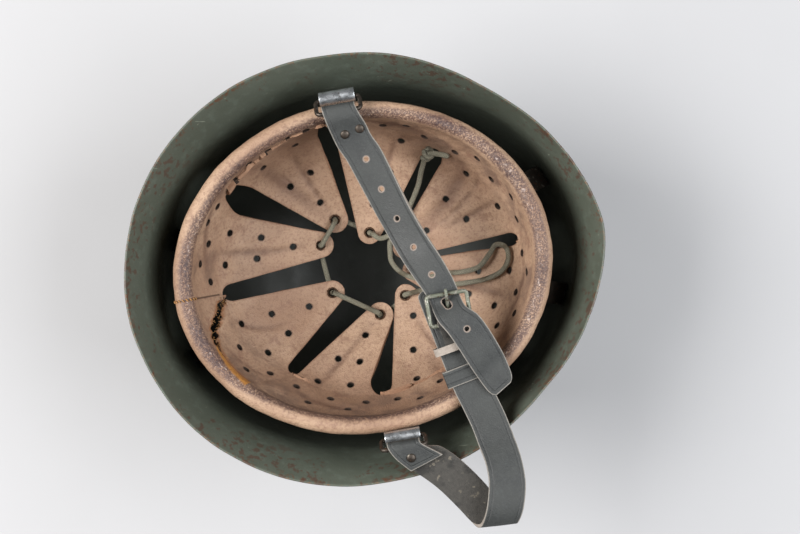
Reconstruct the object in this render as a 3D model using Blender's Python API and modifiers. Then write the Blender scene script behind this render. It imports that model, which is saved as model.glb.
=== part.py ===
import math

import bmesh
import bpy
import numpy as np
from mathutils import Vector

# Steel helmet lying upside down on its crown, in metres, +Z up
# Origin where the crown rests, +X towards the visor, -Y the side where the chin strap hangs out

for old in list(bpy.data.objects):
    bpy.data.objects.remove(old, do_unlink=True)

# Clearance kept between pieces that touch on the real helmet
GAP = 0.0003

# Steel shell
SHELL_WALL = 0.0012
RIM_HALF_LENGTH = 0.142
RIM_HALF_WIDTH = 0.1256
RIM_HEIGHT = 0.165
VISOR_RAISE = 0.012
NAPE_DROP = 0.003
DOME_HALF_LENGTH = 0.1315
DOME_HALF_WIDTH = 0.1125
DOME_HEIGHT = 0.118
DOME_FULLNESS = 2.3
CROWN_FLAT_RADIUS = 0.018
FLARE_CURVE = 1.9
SHELL_COLUMNS = 40
DOME_ROWS = 5
FLARE_ROWS = 3

# Rim outline: degrees from the front, reach as a share of the rim's ellipse
RIM_OUTLINE = (
    (0, 1.005), (15, 0.981), (30, 0.964), (45, 0.954), (60, 0.971), (75, 0.991), (90, 1.000),
    (105, 1.014), (120, 1.019), (135, 1.014), (150, 1.005), (165, 0.993), (180, 0.993),
)

# Leather liner with a rolled edge, a headband and eight tongues
LINER_END_ROOM = 0.0185
LINER_SIDE_ROOM = 0.0140
LINER_HALF_LENGTH = DOME_HALF_LENGTH - LINER_END_ROOM
LINER_HALF_WIDTH = DOME_HALF_WIDTH - LINER_SIDE_ROOM
LINER_SHIFT = -0.0025
LINER_DEPTH = 0.090
LEATHER_WALL = 0.0018
ROLL_BELOW_RIM = 0.008
ROLL_RADIUS = 0.0055
ROLL_SHARE = 2 * ROLL_RADIUS / (0.5 * (LINER_HALF_LENGTH + LINER_HALF_WIDTH))
TAIL_LENGTH = 0.020
TAIL_INSET = 0.004
SLOT_ROOT_RADIUS = 0.010
TIP_RADIUS = 0.0085
TIP_END_ANGLE = math.radians(24)
TONGUE_COLUMNS = 5

# Section of the headband and tongues: reach as a share of the liner outline, depth as a share
# of LINER_DEPTH
BOWL_SECTION = (
    (0.00, 0.985), (0.15, 0.970), (0.27, 0.944), (0.38, 0.900), (0.50, 0.833), (0.64, 0.733),
    (0.77, 0.611), (0.84, 0.467), (0.870, 0.340), (0.887, 0.230), (0.895, 0.150),
)

# Slots between the tongues: degrees from the front, reach of the root's centre as a share of the
# liner outline, root radius as a share of SLOT_ROOT_RADIUS
SLOTS = (
    (1.0, 0.815, 0.42), (48.5, 0.765, 0.65), (96.2, 0.845, 0.50), (141.0, 0.795, 0.95),
    (180.5, 0.755, 0.55), (224.8, 0.735, 0.44), (268.0, 0.745, 0.68), (321.0, 0.740, 0.45),
)

# Tongues, from the one after the first slot: name, degrees and reach of the eyelet, tip radius as
# a share of TIP_RADIUS, rise of the tip and of its left and right edge as shares of LINER_DEPTH
TONGUES = (
    ("d", 18.6, 0.245, 0.80, 0.000, 0.015, -0.010),
    ("c", 75.4, 0.235, 0.90, 0.010, 0.000, 0.010),
    ("b", 113.1, 0.375, 1.00, -0.010, 0.000, 0.035),
    ("a", 143.5, 0.315, 1.00, 0.000, 0.010, 0.000),
    ("h", 206.4, 0.255, 0.95, 0.015, 0.000, 0.010),
    ("g", 276.3, 0.330, 1.00, -0.010, 0.030, 0.000),
    ("f", 315.0, 0.300, 0.85, 0.010, 0.000, 0.000),
    ("e", 346.5, 0.270, 0.80, -0.020, 0.020, 0.025),
)

# Air holes of a tongue: place across it from one slot to the next, place along it where 0 is the
# root row, 1 the tip and -1 the rolled edge
AIR_HOLES = (
    (0.28, 0.150), (0.72, 0.150), (0.31, 0.370), (0.69, 0.370), (0.50, 0.600),
    (0.14, -0.250), (0.31, -0.560), (0.50, -0.250), (0.69, -0.560), (0.86, -0.250),
)
AIR_HOLE_RADIUS = 0.0022
AIR_HOLE_SIDES = 5

# Tear in the headband: degrees from the front, middle below the rim as a share of LINER_DEPTH,
# half height of the gap as a share of TEAR_HALF_HEIGHT
TEAR_HALF_HEIGHT = 0.0030
TEAR = (
    (182.0, 0.560, 1.15), (185.0, 0.500, 1.35), (188.0, 0.440, 1.50), (191.5, 0.355, 1.90),
    (195.0, 0.270, 1.75), (198.0, 0.235, 1.20), (201.0, 0.215, 0.70), (205.0, 0.200, 0.45),
    (210.0, 0.190, 0.30), (215.0, 0.185, 0.12),
)

# Steel band inside the liner's edge, with four spring tabs that reach the shell
BAND_WALL = 0.0009
BAND_HEIGHT = 0.015
TAB_WIDTH = 0.014
VENT_DEGREES = 18.0
# Height of the hollow rivets as a share of DOME_HEIGHT
VENT_LEVEL = 0.763
VENT_BORE = 0.0022
VENT_TUBE = 0.0032
VENT_HEAD = 0.0058
VENT_HEAD_WALL = 0.0010
RIVET_SIDES = 8
# Room that a flat head or tab needs against the curved shell
CURVE_ROOM = 0.0003

# Eyelets and lace
EYELET_BORE = 0.0022
EYELET_WALL = 0.0005
EYELET_FLANGE = 0.0037
EYELET_SIDES = 8
LACE_DIAMETER = 0.0032
LACE_LIFT = 0.0030

# Chin strap and its metal
STRAP_WIDTH = 0.021
STRAP_WALL = 0.0020
STRAP_HOLE = 0.0016
STRAP_HOLE_PITCH = 0.0197
RING_WIRE = 0.0026
RING_HALF_WIDTH = 0.0130
RING_REACH = 0.0129
BRACKET_WALL = 0.0008
BRACKET_HALF_WIDTH = 0.0105
BRACKET_TUBE_RADIUS = 0.0036
BRACKET_ROOM = 0.0030
NEAR_BRACKET_ALONG = 0.0035
BRACKET_BELOW_RIM = 0.0065
BRACKET_TAIL = 0.026
BUCKLE_WIRE = 0.0025
BUCKLE_INNER_WIDTH = 0.0212
BUCKLE_LENGTH = 0.0177
PRONG_WIRE = 0.0020
CHAPE_WALL = 0.0015
CHAPE_WIDTH = 0.0150
KEEPER_WALL = 0.0012
KEEPER_WIDTHS = (0.0045, 0.0100)
KEEPER_SIDE_ROOM = 0.0019
BUCKLE_CORNER = 0.0018
RING_CORNER = 0.0026
PRONG_SLOT = 0.0080
STRAP_RIVET_RADIUS = 0.0014
STRAP_RIVET_HEAD = 0.0027
STRAP_RIVET_ROOM = 0.0010
STRAP_BEND = math.radians(5)
STRAP_STRETCH = 0.013

# Heights of the strap's layers where they lie over the rolled edge
ROLL_TOP = RIM_HEIGHT - ROLL_BELOW_RIM
KEEPER_UNDER = ROLL_TOP + 2 * GAP + KEEPER_WALL / 2
SHORT_LAYER = KEEPER_UNDER + KEEPER_WALL / 2 + GAP + STRAP_WALL / 2
HINGE_HEIGHT = SHORT_LAYER + STRAP_WALL / 2 + PRONG_WIRE + 2 * GAP + BUCKLE_WIRE / 2
LONG_AT_HINGE = HINGE_HEIGHT + BUCKLE_WIRE / 2 + PRONG_WIRE + 4 * GAP + STRAP_WALL / 2
CHAPE_FOLD = BUCKLE_WIRE / 2 + GAP + CHAPE_WALL / 2
CHAPE_UNDER = HINGE_HEIGHT - CHAPE_FOLD
CHAPE_OVER = CHAPE_UNDER + CHAPE_WALL + GAP
KEEPER_1_TOP = CHAPE_OVER + CHAPE_WALL / 2 + GAP + KEEPER_WALL / 2
LONG_AT_KEEPER_1 = KEEPER_1_TOP + KEEPER_WALL / 2 + 2 * GAP + STRAP_WALL / 2
KEEPER_2_TOP = SHORT_LAYER + STRAP_WALL / 2 + GAP + KEEPER_WALL / 2
LONG_AT_KEEPER_2 = KEEPER_2_TOP + KEEPER_WALL / 2 + 2 * GAP + STRAP_WALL / 2
LONG_AT_BAR = SHORT_LAYER + STRAP_WALL + 3 * GAP
TOP_BAR_HEIGHT = LONG_AT_BAR + STRAP_WALL / 2 + 4 * GAP + BUCKLE_WIRE / 2

# Rings: the far one leans in over the rolled edge, the near one leans out
BRACKET_ACROSS = LINER_HALF_WIDTH + BRACKET_ROOM
BRACKET_HEIGHT = RIM_HEIGHT - BRACKET_BELOW_RIM
FAR_RING_LEAN = math.radians(39)
NEAR_RING_LEAN = math.radians(69)
FAR_BAR_ACROSS = BRACKET_ACROSS - RING_REACH * math.cos(FAR_RING_LEAN)
FAR_BAR_HEIGHT = BRACKET_HEIGHT + RING_REACH * math.sin(FAR_RING_LEAN)
NEAR_BAR_ACROSS = -BRACKET_ACROSS - RING_REACH * math.cos(NEAR_RING_LEAN)
NEAR_BAR_HEIGHT = BRACKET_HEIGHT + RING_REACH * math.sin(NEAR_RING_LEAN)
BAR_LAYER = RING_WIRE / 2 + GAP + STRAP_WALL / 2
# How far a ring's lower bar is pulled against the inside of its bracket's tube
RING_SEAT = BRACKET_TUBE_RADIUS * math.cos(math.pi / 10) - BRACKET_WALL / 2 - GAP - RING_WIRE / 2

# Buckle: middle of its hinge bar as shares of LINER_HALF_WIDTH
BUCKLE_ALONG = 0.434
BUCKLE_ACROSS = -0.417


def smooth(table, at, level_end):
    """Read a table's second column between its rows with a cubic whose slopes come from the rows
    beside, level at its first row and, if level_end is true, at its last."""
    xs = np.array([row[0] for row in table], dtype=float)
    ys = np.array([row[1] for row in table], dtype=float)
    slopes = np.gradient(ys, xs)
    slopes[0] = 0.0
    if level_end:
        slopes[-1] = 0.0
    at = np.clip(np.asarray(at, dtype=float), xs[0], xs[-1])
    i = np.clip(np.searchsorted(xs, at) - 1, 0, len(xs) - 2)
    step = xs[i + 1] - xs[i]
    t = (at - xs[i]) / step
    return (
        ys[i] * (1 + 2 * t) * (1 - t) ** 2 + slopes[i] * step * t * (1 - t) ** 2
        + ys[i + 1] * t * t * (3 - 2 * t) - slopes[i + 1] * step * t * t * (1 - t)
    )


def ellipse_reach(angle, half_length, half_width):
    """Distance from the centre to an ellipse in a direction."""
    return 1.0 / np.hypot(np.cos(angle) / half_length, np.sin(angle) / half_width)


def material(name, colour, roughness, metallic=0.0):
    """One Principled material in a plain colour."""
    made = bpy.data.materials.new(name)
    made.use_nodes = True
    shader = made.node_tree.nodes["Principled BSDF"]
    shader.inputs["Base Color"].default_value = (*colour, 1.0)
    shader.inputs["Roughness"].default_value = roughness
    shader.inputs["Metallic"].default_value = metallic
    return made


PAINT = ("shell_paint", (0.065, 0.085, 0.065), 0.5, 0.2)
LEATHER = ("liner_leather", (0.50, 0.34, 0.25), 0.7, 0.0)
CORE = ("core_cord", (0.58, 0.32, 0.10), 0.9, 0.0)
BARE_STEEL = ("bare_steel", (0.55, 0.57, 0.58), 0.4, 0.9)
DARK_STEEL = ("dark_steel", (0.06, 0.05, 0.04), 0.5, 0.8)
BRONZE = ("dark_bronze", (0.12, 0.09, 0.06), 0.45, 0.8)
STRAP = ("strap_leather", (0.11, 0.12, 0.12), 0.55, 0.0)
LACE = ("lace_cord", (0.24, 0.23, 0.17), 0.9, 0.0)
BUCKLE_PAINT = ("buckle_paint", (0.16, 0.17, 0.13), 0.5, 0.6)

parts = bpy.data.collections.new("helmet")
cutters = bpy.data.collections.new("cutters")
bpy.context.scene.collection.children.link(parts)
bpy.context.scene.collection.children.link(cutters)


def add(name, mesh, finish):
    """Put a mesh into the helmet's collection under a plain name."""
    made = bpy.data.objects.new(name, mesh)
    parts.objects.link(made)
    found = bpy.data.materials.get(finish[0])
    mesh.materials.append(found or material(*finish))
    return made


def add_cutter(name, mesh):
    """Put a mesh among the cutters, which are not pieces of the helmet."""
    made = bpy.data.objects.new(name, mesh)
    cutters.objects.link(made)
    made.hide_render = True
    made.display_type = "WIRE"
    return made


def cut(piece, cutter):
    """Subtract a cutter from a piece."""
    change = piece.modifiers.new("cut_" + cutter.name, "BOOLEAN")
    change.operation = "DIFFERENCE"
    change.solver = "EXACT"
    change.use_self = True
    change.object = cutter


def solidify(piece, wall, offset=-1.0):
    """Give an open surface a wall of even thickness."""
    change = piece.modifiers.new("wall", "SOLIDIFY")
    change.thickness = wall
    change.offset = offset
    change.use_even_offset = True


def mapped_grid(bm, columns, rows, place):
    """Lay a grid of faces whose corners go where place(u, v) says, with u and v from 0 to 1."""
    made = bmesh.ops.create_grid(bm, x_segments=columns, y_segments=rows, size=1.0)
    for vert in made["verts"]:
        vert.co = Vector(place((vert.co.x + 1) / 2, (vert.co.y + 1) / 2))


def finish_mesh(name, bm, merge=0.00002):
    """Merge the seams of a mesh and store it."""
    bmesh.ops.remove_doubles(bm, verts=bm.verts[:], dist=merge)
    mesh = bpy.data.meshes.new(name)
    bm.to_mesh(mesh)
    bm.free()
    return mesh


def loft(name, rings, closed=False):
    """Skin rings of corners in order, capped at both ends unless the loft closes on itself."""
    bm = bmesh.new()
    verts = [[bm.verts.new(corner) for corner in ring] for ring in rings]
    count = len(rings)
    sides = len(rings[0])
    for i in range(count if closed else count - 1):
        low = verts[i]
        high = verts[(i + 1) % count]
        for j in range(sides):
            bm.faces.new((low[j], low[(j + 1) % sides], high[(j + 1) % sides], high[j]))
    if not closed:
        bm.faces.new(verts[0][::-1])
        bm.faces.new(verts[-1])
    bmesh.ops.recalc_face_normals(bm, faces=bm.faces[:])
    return finish_mesh(name, bm, merge=0.000001)


def frame_to(direction):
    """Turn +Z to a direction."""
    return Vector(direction).to_track_quat("Z", "Y").to_matrix().to_4x4()


def turned(name, profile, place, direction, sides):
    """Turn a profile of (radius, height) about a direction; it runs down its outer side."""
    mesh = bpy.data.meshes.new(name)
    count = len(profile)
    closed = profile[0][0] > 0
    edges = [(i, i + 1) for i in range(count - 1)]
    if closed:
        edges.append((count - 1, 0))
    mesh.from_pydata([(radius, 0, height) for radius, height in profile], edges, [])
    made = bpy.data.objects.new(name, mesh)
    change = made.modifiers.new("turn", "SCREW")
    change.steps = sides
    change.render_steps = sides
    change.use_merge_vertices = True
    change.merge_threshold = 0.00001
    turn = frame_to(direction)
    turn.translation = Vector(place)
    made.matrix_world = turn
    return made


def add_turned(name, profile, place, direction, sides, finish):
    """A turned piece of the helmet."""
    made = turned(name, profile, place, direction, sides)
    parts.objects.link(made)
    made.data.materials.append(bpy.data.materials.get(finish[0]) or material(*finish))
    return made


def rod_cutter(bm, place, direction, radius, length, sides):
    """Add one straight rod to a mesh of cutters, centred on a place."""
    turn = frame_to(direction)
    turn.translation = Vector(place)
    bmesh.ops.create_cone(
        bm, cap_ends=True, segments=sides, radius1=radius, radius2=radius, depth=length, matrix=turn
    )


def wire(name, points, thickness, finish, closed=False, resolution=2):
    """A round wire or cord along points."""
    curve = bpy.data.curves.new(name, "CURVE")
    curve.dimensions = "3D"
    curve.bevel_depth = thickness / 2
    curve.bevel_resolution = resolution
    curve.use_fill_caps = True
    spline = curve.splines.new("POLY")
    spline.points.add(len(points) - 1)
    for i, point in enumerate(points):
        spline.points[i].co = (*point, 1.0)
    spline.use_cyclic_u = closed
    made = bpy.data.objects.new(name, curve)
    parts.objects.link(made)
    curve.materials.append(bpy.data.materials.get(finish[0]) or material(*finish))
    return made


def rim_reach(angle):
    """Distance from the axis to the rim in a direction."""
    degrees = np.degrees(np.abs((angle + np.pi) % (2 * np.pi) - np.pi))
    return smooth(RIM_OUTLINE, degrees, True) * ellipse_reach(angle, RIM_HALF_LENGTH, RIM_HALF_WIDTH)


def rim_height(angle):
    """The rim is cut up over the brow and down at the nape, and the helmet lies upside down."""
    front = (0.5 + 0.5 * np.cos(angle)) ** 4
    back = (0.5 - 0.5 * np.cos(angle)) ** 4
    return RIM_HEIGHT - VISOR_RAISE * front + NAPE_DROP * back


def dome_section(turn):
    """Reach share and height of the superelliptic dome at a turn from the crown to upright."""
    power = 2.0 / DOME_FULLNESS
    return math.sin(turn) ** power, DOME_HEIGHT * (1 - max(math.cos(turn), 0.0) ** power)


FLAT_SHARE = CROWN_FLAT_RADIUS / DOME_HALF_LENGTH
FLAT_TURN = math.asin(FLAT_SHARE ** (DOME_FULLNESS / 2))
FLAT_HEIGHT = dome_section(FLAT_TURN)[1]


def shell_point(angle, row):
    """Outer surface of the shell: row 0 to 1 is the flat crown, 1 to 2 the dome, 2 to 3 the flare."""
    if row <= 1:
        share, height = FLAT_SHARE * row, FLAT_HEIGHT
    elif row <= 2:
        share, height = dome_section(FLAT_TURN + (math.pi / 2 - FLAT_TURN) * (row - 1))
    else:
        share, height = 1.0, DOME_HEIGHT
    height -= FLAT_HEIGHT
    reach = share * ellipse_reach(angle, DOME_HALF_LENGTH, DOME_HALF_WIDTH)
    if row > 2:
        flare = row - 2
        reach += (rim_reach(angle) - reach) * flare**FLARE_CURVE
        height += (rim_height(angle) - height) * flare
    return Vector((reach * math.cos(angle), reach * math.sin(angle), height))


def shell_corner(column, row):
    """Corner of the shell's own facets."""
    if row > 1 + DOME_ROWS:
        place = 2 + (row - 1 - DOME_ROWS) / FLARE_ROWS
    elif row > 1:
        place = 1 + (row - 1) / DOME_ROWS
    else:
        place = row
    return shell_point(2 * math.pi * (column + 0.5) / SHELL_COLUMNS, place)


def shell_wall(angle, height):
    """Point and outward direction on the facet of the dome's top row, at a height on it."""
    column = math.floor(angle * SHELL_COLUMNS / (2 * math.pi) - 0.5)
    beside = angle * SHELL_COLUMNS / (2 * math.pi) - 0.5 - column
    low, low_next, high, high_next = [
        shell_corner(column + i, row) for row in (DOME_ROWS, DOME_ROWS + 1) for i in (0, 1)
    ]
    up = (height - low.z) / (high.z - low.z)
    out = (low_next - low).cross(high - low).normalized()
    return low.lerp(low_next, beside).lerp(high.lerp(high_next, beside), up), out


VENT_ANGLES = [math.radians(d) for d in (VENT_DEGREES, 180 - VENT_DEGREES, 180 + VENT_DEGREES, -VENT_DEGREES)]
VENT_HEIGHT = VENT_LEVEL * DOME_HEIGHT


def make_shell():
    """Pressed steel bowl with a flared rim, pierced for the four hollow rivets."""
    rows = 1 + DOME_ROWS + FLARE_ROWS

    def place(u, v):
        return shell_corner(u * SHELL_COLUMNS, round(v * rows))

    bm = bmesh.new()
    mapped_grid(bm, SHELL_COLUMNS, rows, place)
    shell = add("shell", finish_mesh("shell", bm), PAINT)
    solidify(shell, SHELL_WALL)
    drill = bmesh.new()
    for angle in VENT_ANGLES:
        point, out = shell_wall(angle, VENT_HEIGHT)
        rod_cutter(drill, point, out, VENT_TUBE + GAP, 0.012, RIVET_SIDES)
    cut(shell, add_cutter("vent_drill", finish_mesh("vent_drill", drill)))


def liner_reach(angle):
    """Distance from the liner's own centre to its outline."""
    return ellipse_reach(angle, LINER_HALF_LENGTH, LINER_HALF_WIDTH)


def liner_place(angle, share, depth):
    """A point from its direction, its share of the liner outline and its depth below the rim."""
    reach = float(liner_reach(angle)) * share
    return Vector((LINER_SHIFT + reach * math.cos(angle), reach * math.sin(angle), RIM_HEIGHT - depth))


def bowl_depth(share):
    """Depth of the headband and tongues below the rim."""
    return LINER_DEPTH * float(smooth(BOWL_SECTION, share, False))


ROLL_DEPTH = ROLL_BELOW_RIM + ROLL_RADIUS
ROLL_INNER_SHARE = 1 - ROLL_SHARE


def polar(point):
    """Direction and share of the liner outline of a plan point about the liner's centre."""
    angle = math.atan2(point[1], point[0])
    return angle, math.hypot(point[0], point[1]) / float(liner_reach(angle))


def plan(degrees, share):
    """Plan point about the liner's centre."""
    angle = math.radians(degrees)
    reach = share * float(liner_reach(angle))
    return np.array((reach * math.cos(angle), reach * math.sin(angle)))


def heading(vector):
    return math.atan2(vector[1], vector[0])


def ray(angle):
    return np.array((math.cos(angle), math.sin(angle)))


def turn_between(start, end):
    """Signed turn from one heading to another, the short way."""
    return (end - start + math.pi) % (2 * math.pi) - math.pi


SLOT_ROOTS = [plan(row[0], row[1]) for row in SLOTS]
TIPS = [plan(row[1], row[2]) for row in TONGUES]
COUNT = len(TONGUES)


def slot_outward(slot):
    """Heading of a slot from the tips beside it to its root."""
    middle = 0.5 * (TIPS[slot - 1] + TIPS[slot])
    return heading(SLOT_ROOTS[slot] - middle)


def edge_point(tongue, side, along):
    """Plan point on a tongue's edge: round the slot's root, straight to the tip, and round the tip.

    side is 0 for the slot before the tongue and 1 for the slot after it; along runs from 0 at the
    bottom of the slot to 1 at the tip's end.
    """
    slot = (tongue + side) % COUNT
    root = SLOT_ROOTS[slot]
    root_radius = SLOTS[slot][2] * SLOT_ROOT_RADIUS
    tip = TIPS[tongue]
    tip_radius = TONGUES[tongue][3] * TIP_RADIUS
    across = tip - root
    lean = math.acos((root_radius + tip_radius) / math.hypot(*across))
    normal = heading(across) + (lean if side else -lean)
    if along <= ROOT_END:
        start = slot_outward(slot)
        turn = turn_between(start, normal) * along / ROOT_END
        return root + root_radius * ray(start + turn)
    tip_start = normal + math.pi
    if along <= TIP_START:
        share = (along - ROOT_END) / (TIP_START - ROOT_END)
        return (root + root_radius * ray(normal)) * (1 - share) + (tip + tip_radius * ray(tip_start)) * share
    middle = 0.5 * (SLOT_ROOTS[tongue] + SLOT_ROOTS[(tongue + 1) % COUNT])
    end = heading(tip - middle) + (-TIP_END_ANGLE if side else TIP_END_ANGLE)
    turn = turn_between(tip_start, end) * (along - TIP_START) / (1 - TIP_START)
    return tip + tip_radius * ray(tip_start + turn)


ROOT_END = 0.2
TIP_START = 0.8
ROW_PLACES = (0.0, 0.10, 0.2, 0.5, 0.8, 0.9, 1.0)


def tongue_rise(tongue, across, along):
    """How far a tongue's tip, and its edges half way along it, stand above the common bowl."""
    _, _, _, _, rise, left, right = TONGUES[tongue]
    edge = right * max(1 - 2 * across, 0.0) ** 2 + left * max(2 * across - 1, 0.0) ** 2
    return LINER_DEPTH * (rise * along**2 + edge * math.sin(math.pi * min(along / TIP_START, 1.0)) ** 2)


def tongue_point(tongue, across, along):
    """A point of the visible leather: along is -1 at the rolled edge, 0 at the root row, 1 at the tip."""
    first_angle, first_share = polar(edge_point(tongue, 0, max(along, 0.0)))
    last_angle, last_share = polar(edge_point(tongue, 1, max(along, 0.0)))
    angle = first_angle + turn_between(first_angle, last_angle) * across
    share = first_share + (last_share - first_share) * across
    if along >= 0:
        return liner_place(angle, share, bowl_depth(share) - tongue_rise(tongue, across, along))
    up = -along
    share = share + (ROLL_INNER_SHARE - share) * (1 - (1 - up) ** 1.7)
    low = bowl_depth(first_share + (last_share - first_share) * across)
    return liner_place(angle, share, low + (ROLL_DEPTH - low) * up)


def roll_point(tongue, across, turn):
    """A point of the rolled edge: turn 0 is its outer side, pi its inner side, below 0 the tail."""
    first_angle, _ = polar(edge_point(tongue, 0, 0.0))
    last_angle, _ = polar(edge_point(tongue, 1, 0.0))
    angle = first_angle + turn_between(first_angle, last_angle) * across
    if turn < 0:
        inset = TAIL_INSET / float(liner_reach(angle)) * -turn
        return liner_place(angle, 1 - inset, ROLL_DEPTH + TAIL_LENGTH * -turn)
    share = 1 - ROLL_SHARE / 2 * (1 - math.cos(turn))
    return liner_place(angle, share, ROLL_DEPTH - ROLL_RADIUS * math.sin(turn))


ROLL_TURNS = (-1.0, 0.0, math.pi / 3, 2 * math.pi / 3, math.pi)
HEADBAND_ROWS = (-0.75, -0.43)


def leather_facet(tongue, across, along):
    """Point of the leather's own facets at a place on a tongue or the headband."""
    places = (-1.0, *HEADBAND_ROWS, *ROW_PLACES)
    row = min(int(np.searchsorted(places, along, side="right")) - 1, len(places) - 2)
    column = min(int(across * TONGUE_COLUMNS), TONGUE_COLUMNS - 1)
    up = (along - places[row]) / (places[row + 1] - places[row])
    beside = across * TONGUE_COLUMNS - column
    corners = [
        tongue_point(tongue, (column + i) / TONGUE_COLUMNS, places[row + j]) for j in (0, 1) for i in (0, 1)
    ]
    return corners[0].lerp(corners[1], beside).lerp(corners[2].lerp(corners[3], beside), up)


def leather_normal(tongue, across, along):
    """Direction away from the shell, square to the leather's facets around a place."""
    step = 0.04
    around = leather_facet(tongue, across + 2 * step, along) - leather_facet(tongue, across - 2 * step, along)
    inward = leather_facet(tongue, across, along + step) - leather_facet(tongue, across, along - step)
    return around.cross(inward).normalized()


def tear_cutter():
    """A curved wedge that opens the headband beside one tongue, and stops short of the core."""
    rings = []
    for degrees, middle, height in TEAR:
        angle = math.radians(degrees)
        half = TEAR_HALF_HEIGHT * height
        depth = middle * LINER_DEPTH
        corners = []
        for depth_side, reach_side in ((-1, -1), (1, -1), (1, 1), (-1, 1)):
            level = depth + half * depth_side
            share = wall_share(level) + reach_side * (LEATHER_WALL + 0.0009) / LINER_HALF_LENGTH
            corners.append(liner_place(angle, share, level))
        rings.append(corners)
    return loft("tear_cutter", rings)


def wall_share(depth):
    """Share of the liner outline where the headband is at a depth."""
    shares = np.linspace(0.3, ROLL_INNER_SHARE, 200)
    return float(np.interp(depth, [bowl_depth(s) for s in shares[::-1]], shares[::-1]))


def make_liner():
    """One piece of leather: rolled edge, headband and eight tongues, with its holes cut through."""
    bm = bmesh.new()
    rows = len(ROLL_TURNS) + len(HEADBAND_ROWS) + len(ROW_PLACES) - 1
    for tongue in range(COUNT):

        def place(u, v, tongue=tongue):
            index = round(v * rows)
            if index < len(ROLL_TURNS):
                return roll_point(tongue, u, ROLL_TURNS[index])
            index -= len(ROLL_TURNS)
            if index < len(HEADBAND_ROWS):
                return tongue_point(tongue, u, HEADBAND_ROWS[index])
            return tongue_point(tongue, u, ROW_PLACES[index - len(HEADBAND_ROWS)])

        mapped_grid(bm, TONGUE_COLUMNS, rows, place)
    liner = add("leather_liner", finish_mesh("leather_liner", bm), LEATHER)
    solidify(liner, LEATHER_WALL)
    punch = bmesh.new()
    for tongue in range(COUNT):
        for across, along in AIR_HOLES:
            rod_cutter(
                punch, leather_facet(tongue, across, along), leather_normal(tongue, across, along),
                AIR_HOLE_RADIUS, 0.007, AIR_HOLE_SIDES,
            )
        rod_cutter(
            punch, eyelet_place(tongue), eyelet_axis(tongue),
            EYELET_BORE + EYELET_WALL + GAP, 0.008, EYELET_SIDES,
        )
    cut(liner, add_cutter("air_hole_punch", finish_mesh("air_hole_punch", punch)))
    cut(liner, add_cutter("tear_knife", tear_cutter()))


def tip_along(tongue):
    """Place along a tongue whose middle lies at the eyelet."""
    places = np.linspace(0.6, 1.0, 81)
    target = TIPS[tongue]
    gaps = []
    for along in places:
        point = leather_facet(tongue, 0.5, along)
        gaps.append(math.hypot(point.x - LINER_SHIFT - target[0], point.y - target[1]))
    return float(places[int(np.argmin(gaps))])


def eyelet_place(tongue):
    return leather_facet(tongue, 0.5, tip_along(tongue))


def eyelet_axis(tongue):
    return leather_normal(tongue, 0.5, min(tip_along(tongue), 0.93))


def make_eyelets():
    """A turned eyelet set in each tongue, its flanges just clear of the leather."""
    seat = 2 * GAP
    barrel = EYELET_BORE + EYELET_WALL
    profile = (
        (EYELET_BORE, seat + EYELET_WALL), (EYELET_FLANGE, seat), (barrel, seat), (barrel, -LEATHER_WALL - seat),
        (EYELET_FLANGE, -LEATHER_WALL - seat), (EYELET_BORE, -LEATHER_WALL - seat - EYELET_WALL),
    )
    for tongue, row in enumerate(TONGUES):
        add_turned(
            "eyelet_" + row[0], profile, eyelet_place(tongue), eyelet_axis(tongue), EYELET_SIDES, BRONZE
        )


CORE_SEGMENTS = COUNT * TONGUE_COLUMNS


def make_core():
    """Round cord that fills the rolled edge."""
    radius = (ROLL_RADIUS * math.cos(math.pi / 6) - LEATHER_WALL - GAP) * 0.93
    points = [
        liner_place(2 * math.pi * i / CORE_SEGMENTS, 1 - ROLL_SHARE / 2, ROLL_DEPTH) for i in range(CORE_SEGMENTS)
    ]
    wire("roll_core", points, 2 * radius, CORE, closed=True, resolution=1)


BAND_COLUMNS = COUNT * TONGUE_COLUMNS
BAND_TOP = ROLL_DEPTH + ROLL_RADIUS - LEATHER_WALL + GAP


def band_inset(depth):
    """Distance from the liner's outline to the band's outer side, clear of the liner's tail."""
    return TAIL_INSET * (depth - ROLL_DEPTH) / TAIL_LENGTH + LEATHER_WALL + 2 * GAP


def make_band():
    """Steel hoop under the core, inside the liner's tail."""
    bm = bmesh.new()

    def hoop(u, v):
        angle = 2 * math.pi * u
        depth = BAND_TOP + BAND_HEIGHT * (1 - v)
        return liner_place(angle, 1 - band_inset(depth) / float(liner_reach(angle)), depth)

    mapped_grid(bm, BAND_COLUMNS, 1, hoop)
    band = add("liner_band", finish_mesh("liner_band", bm), DARK_STEEL)
    solidify(band, BAND_WALL)
    drill = bmesh.new()
    for side in (1, -1):
        place, out = bracket_rivet_seat(side)
        rod_cutter(drill, place, out, STRAP_RIVET_RADIUS + GAP, 0.012, RIVET_SIDES)
    hole = add_cutter("bracket_drill", finish_mesh("bracket_drill", drill))
    cut(band, hole)
    return hole


TAB_REACHES = (-0.007, 0.013)


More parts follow.
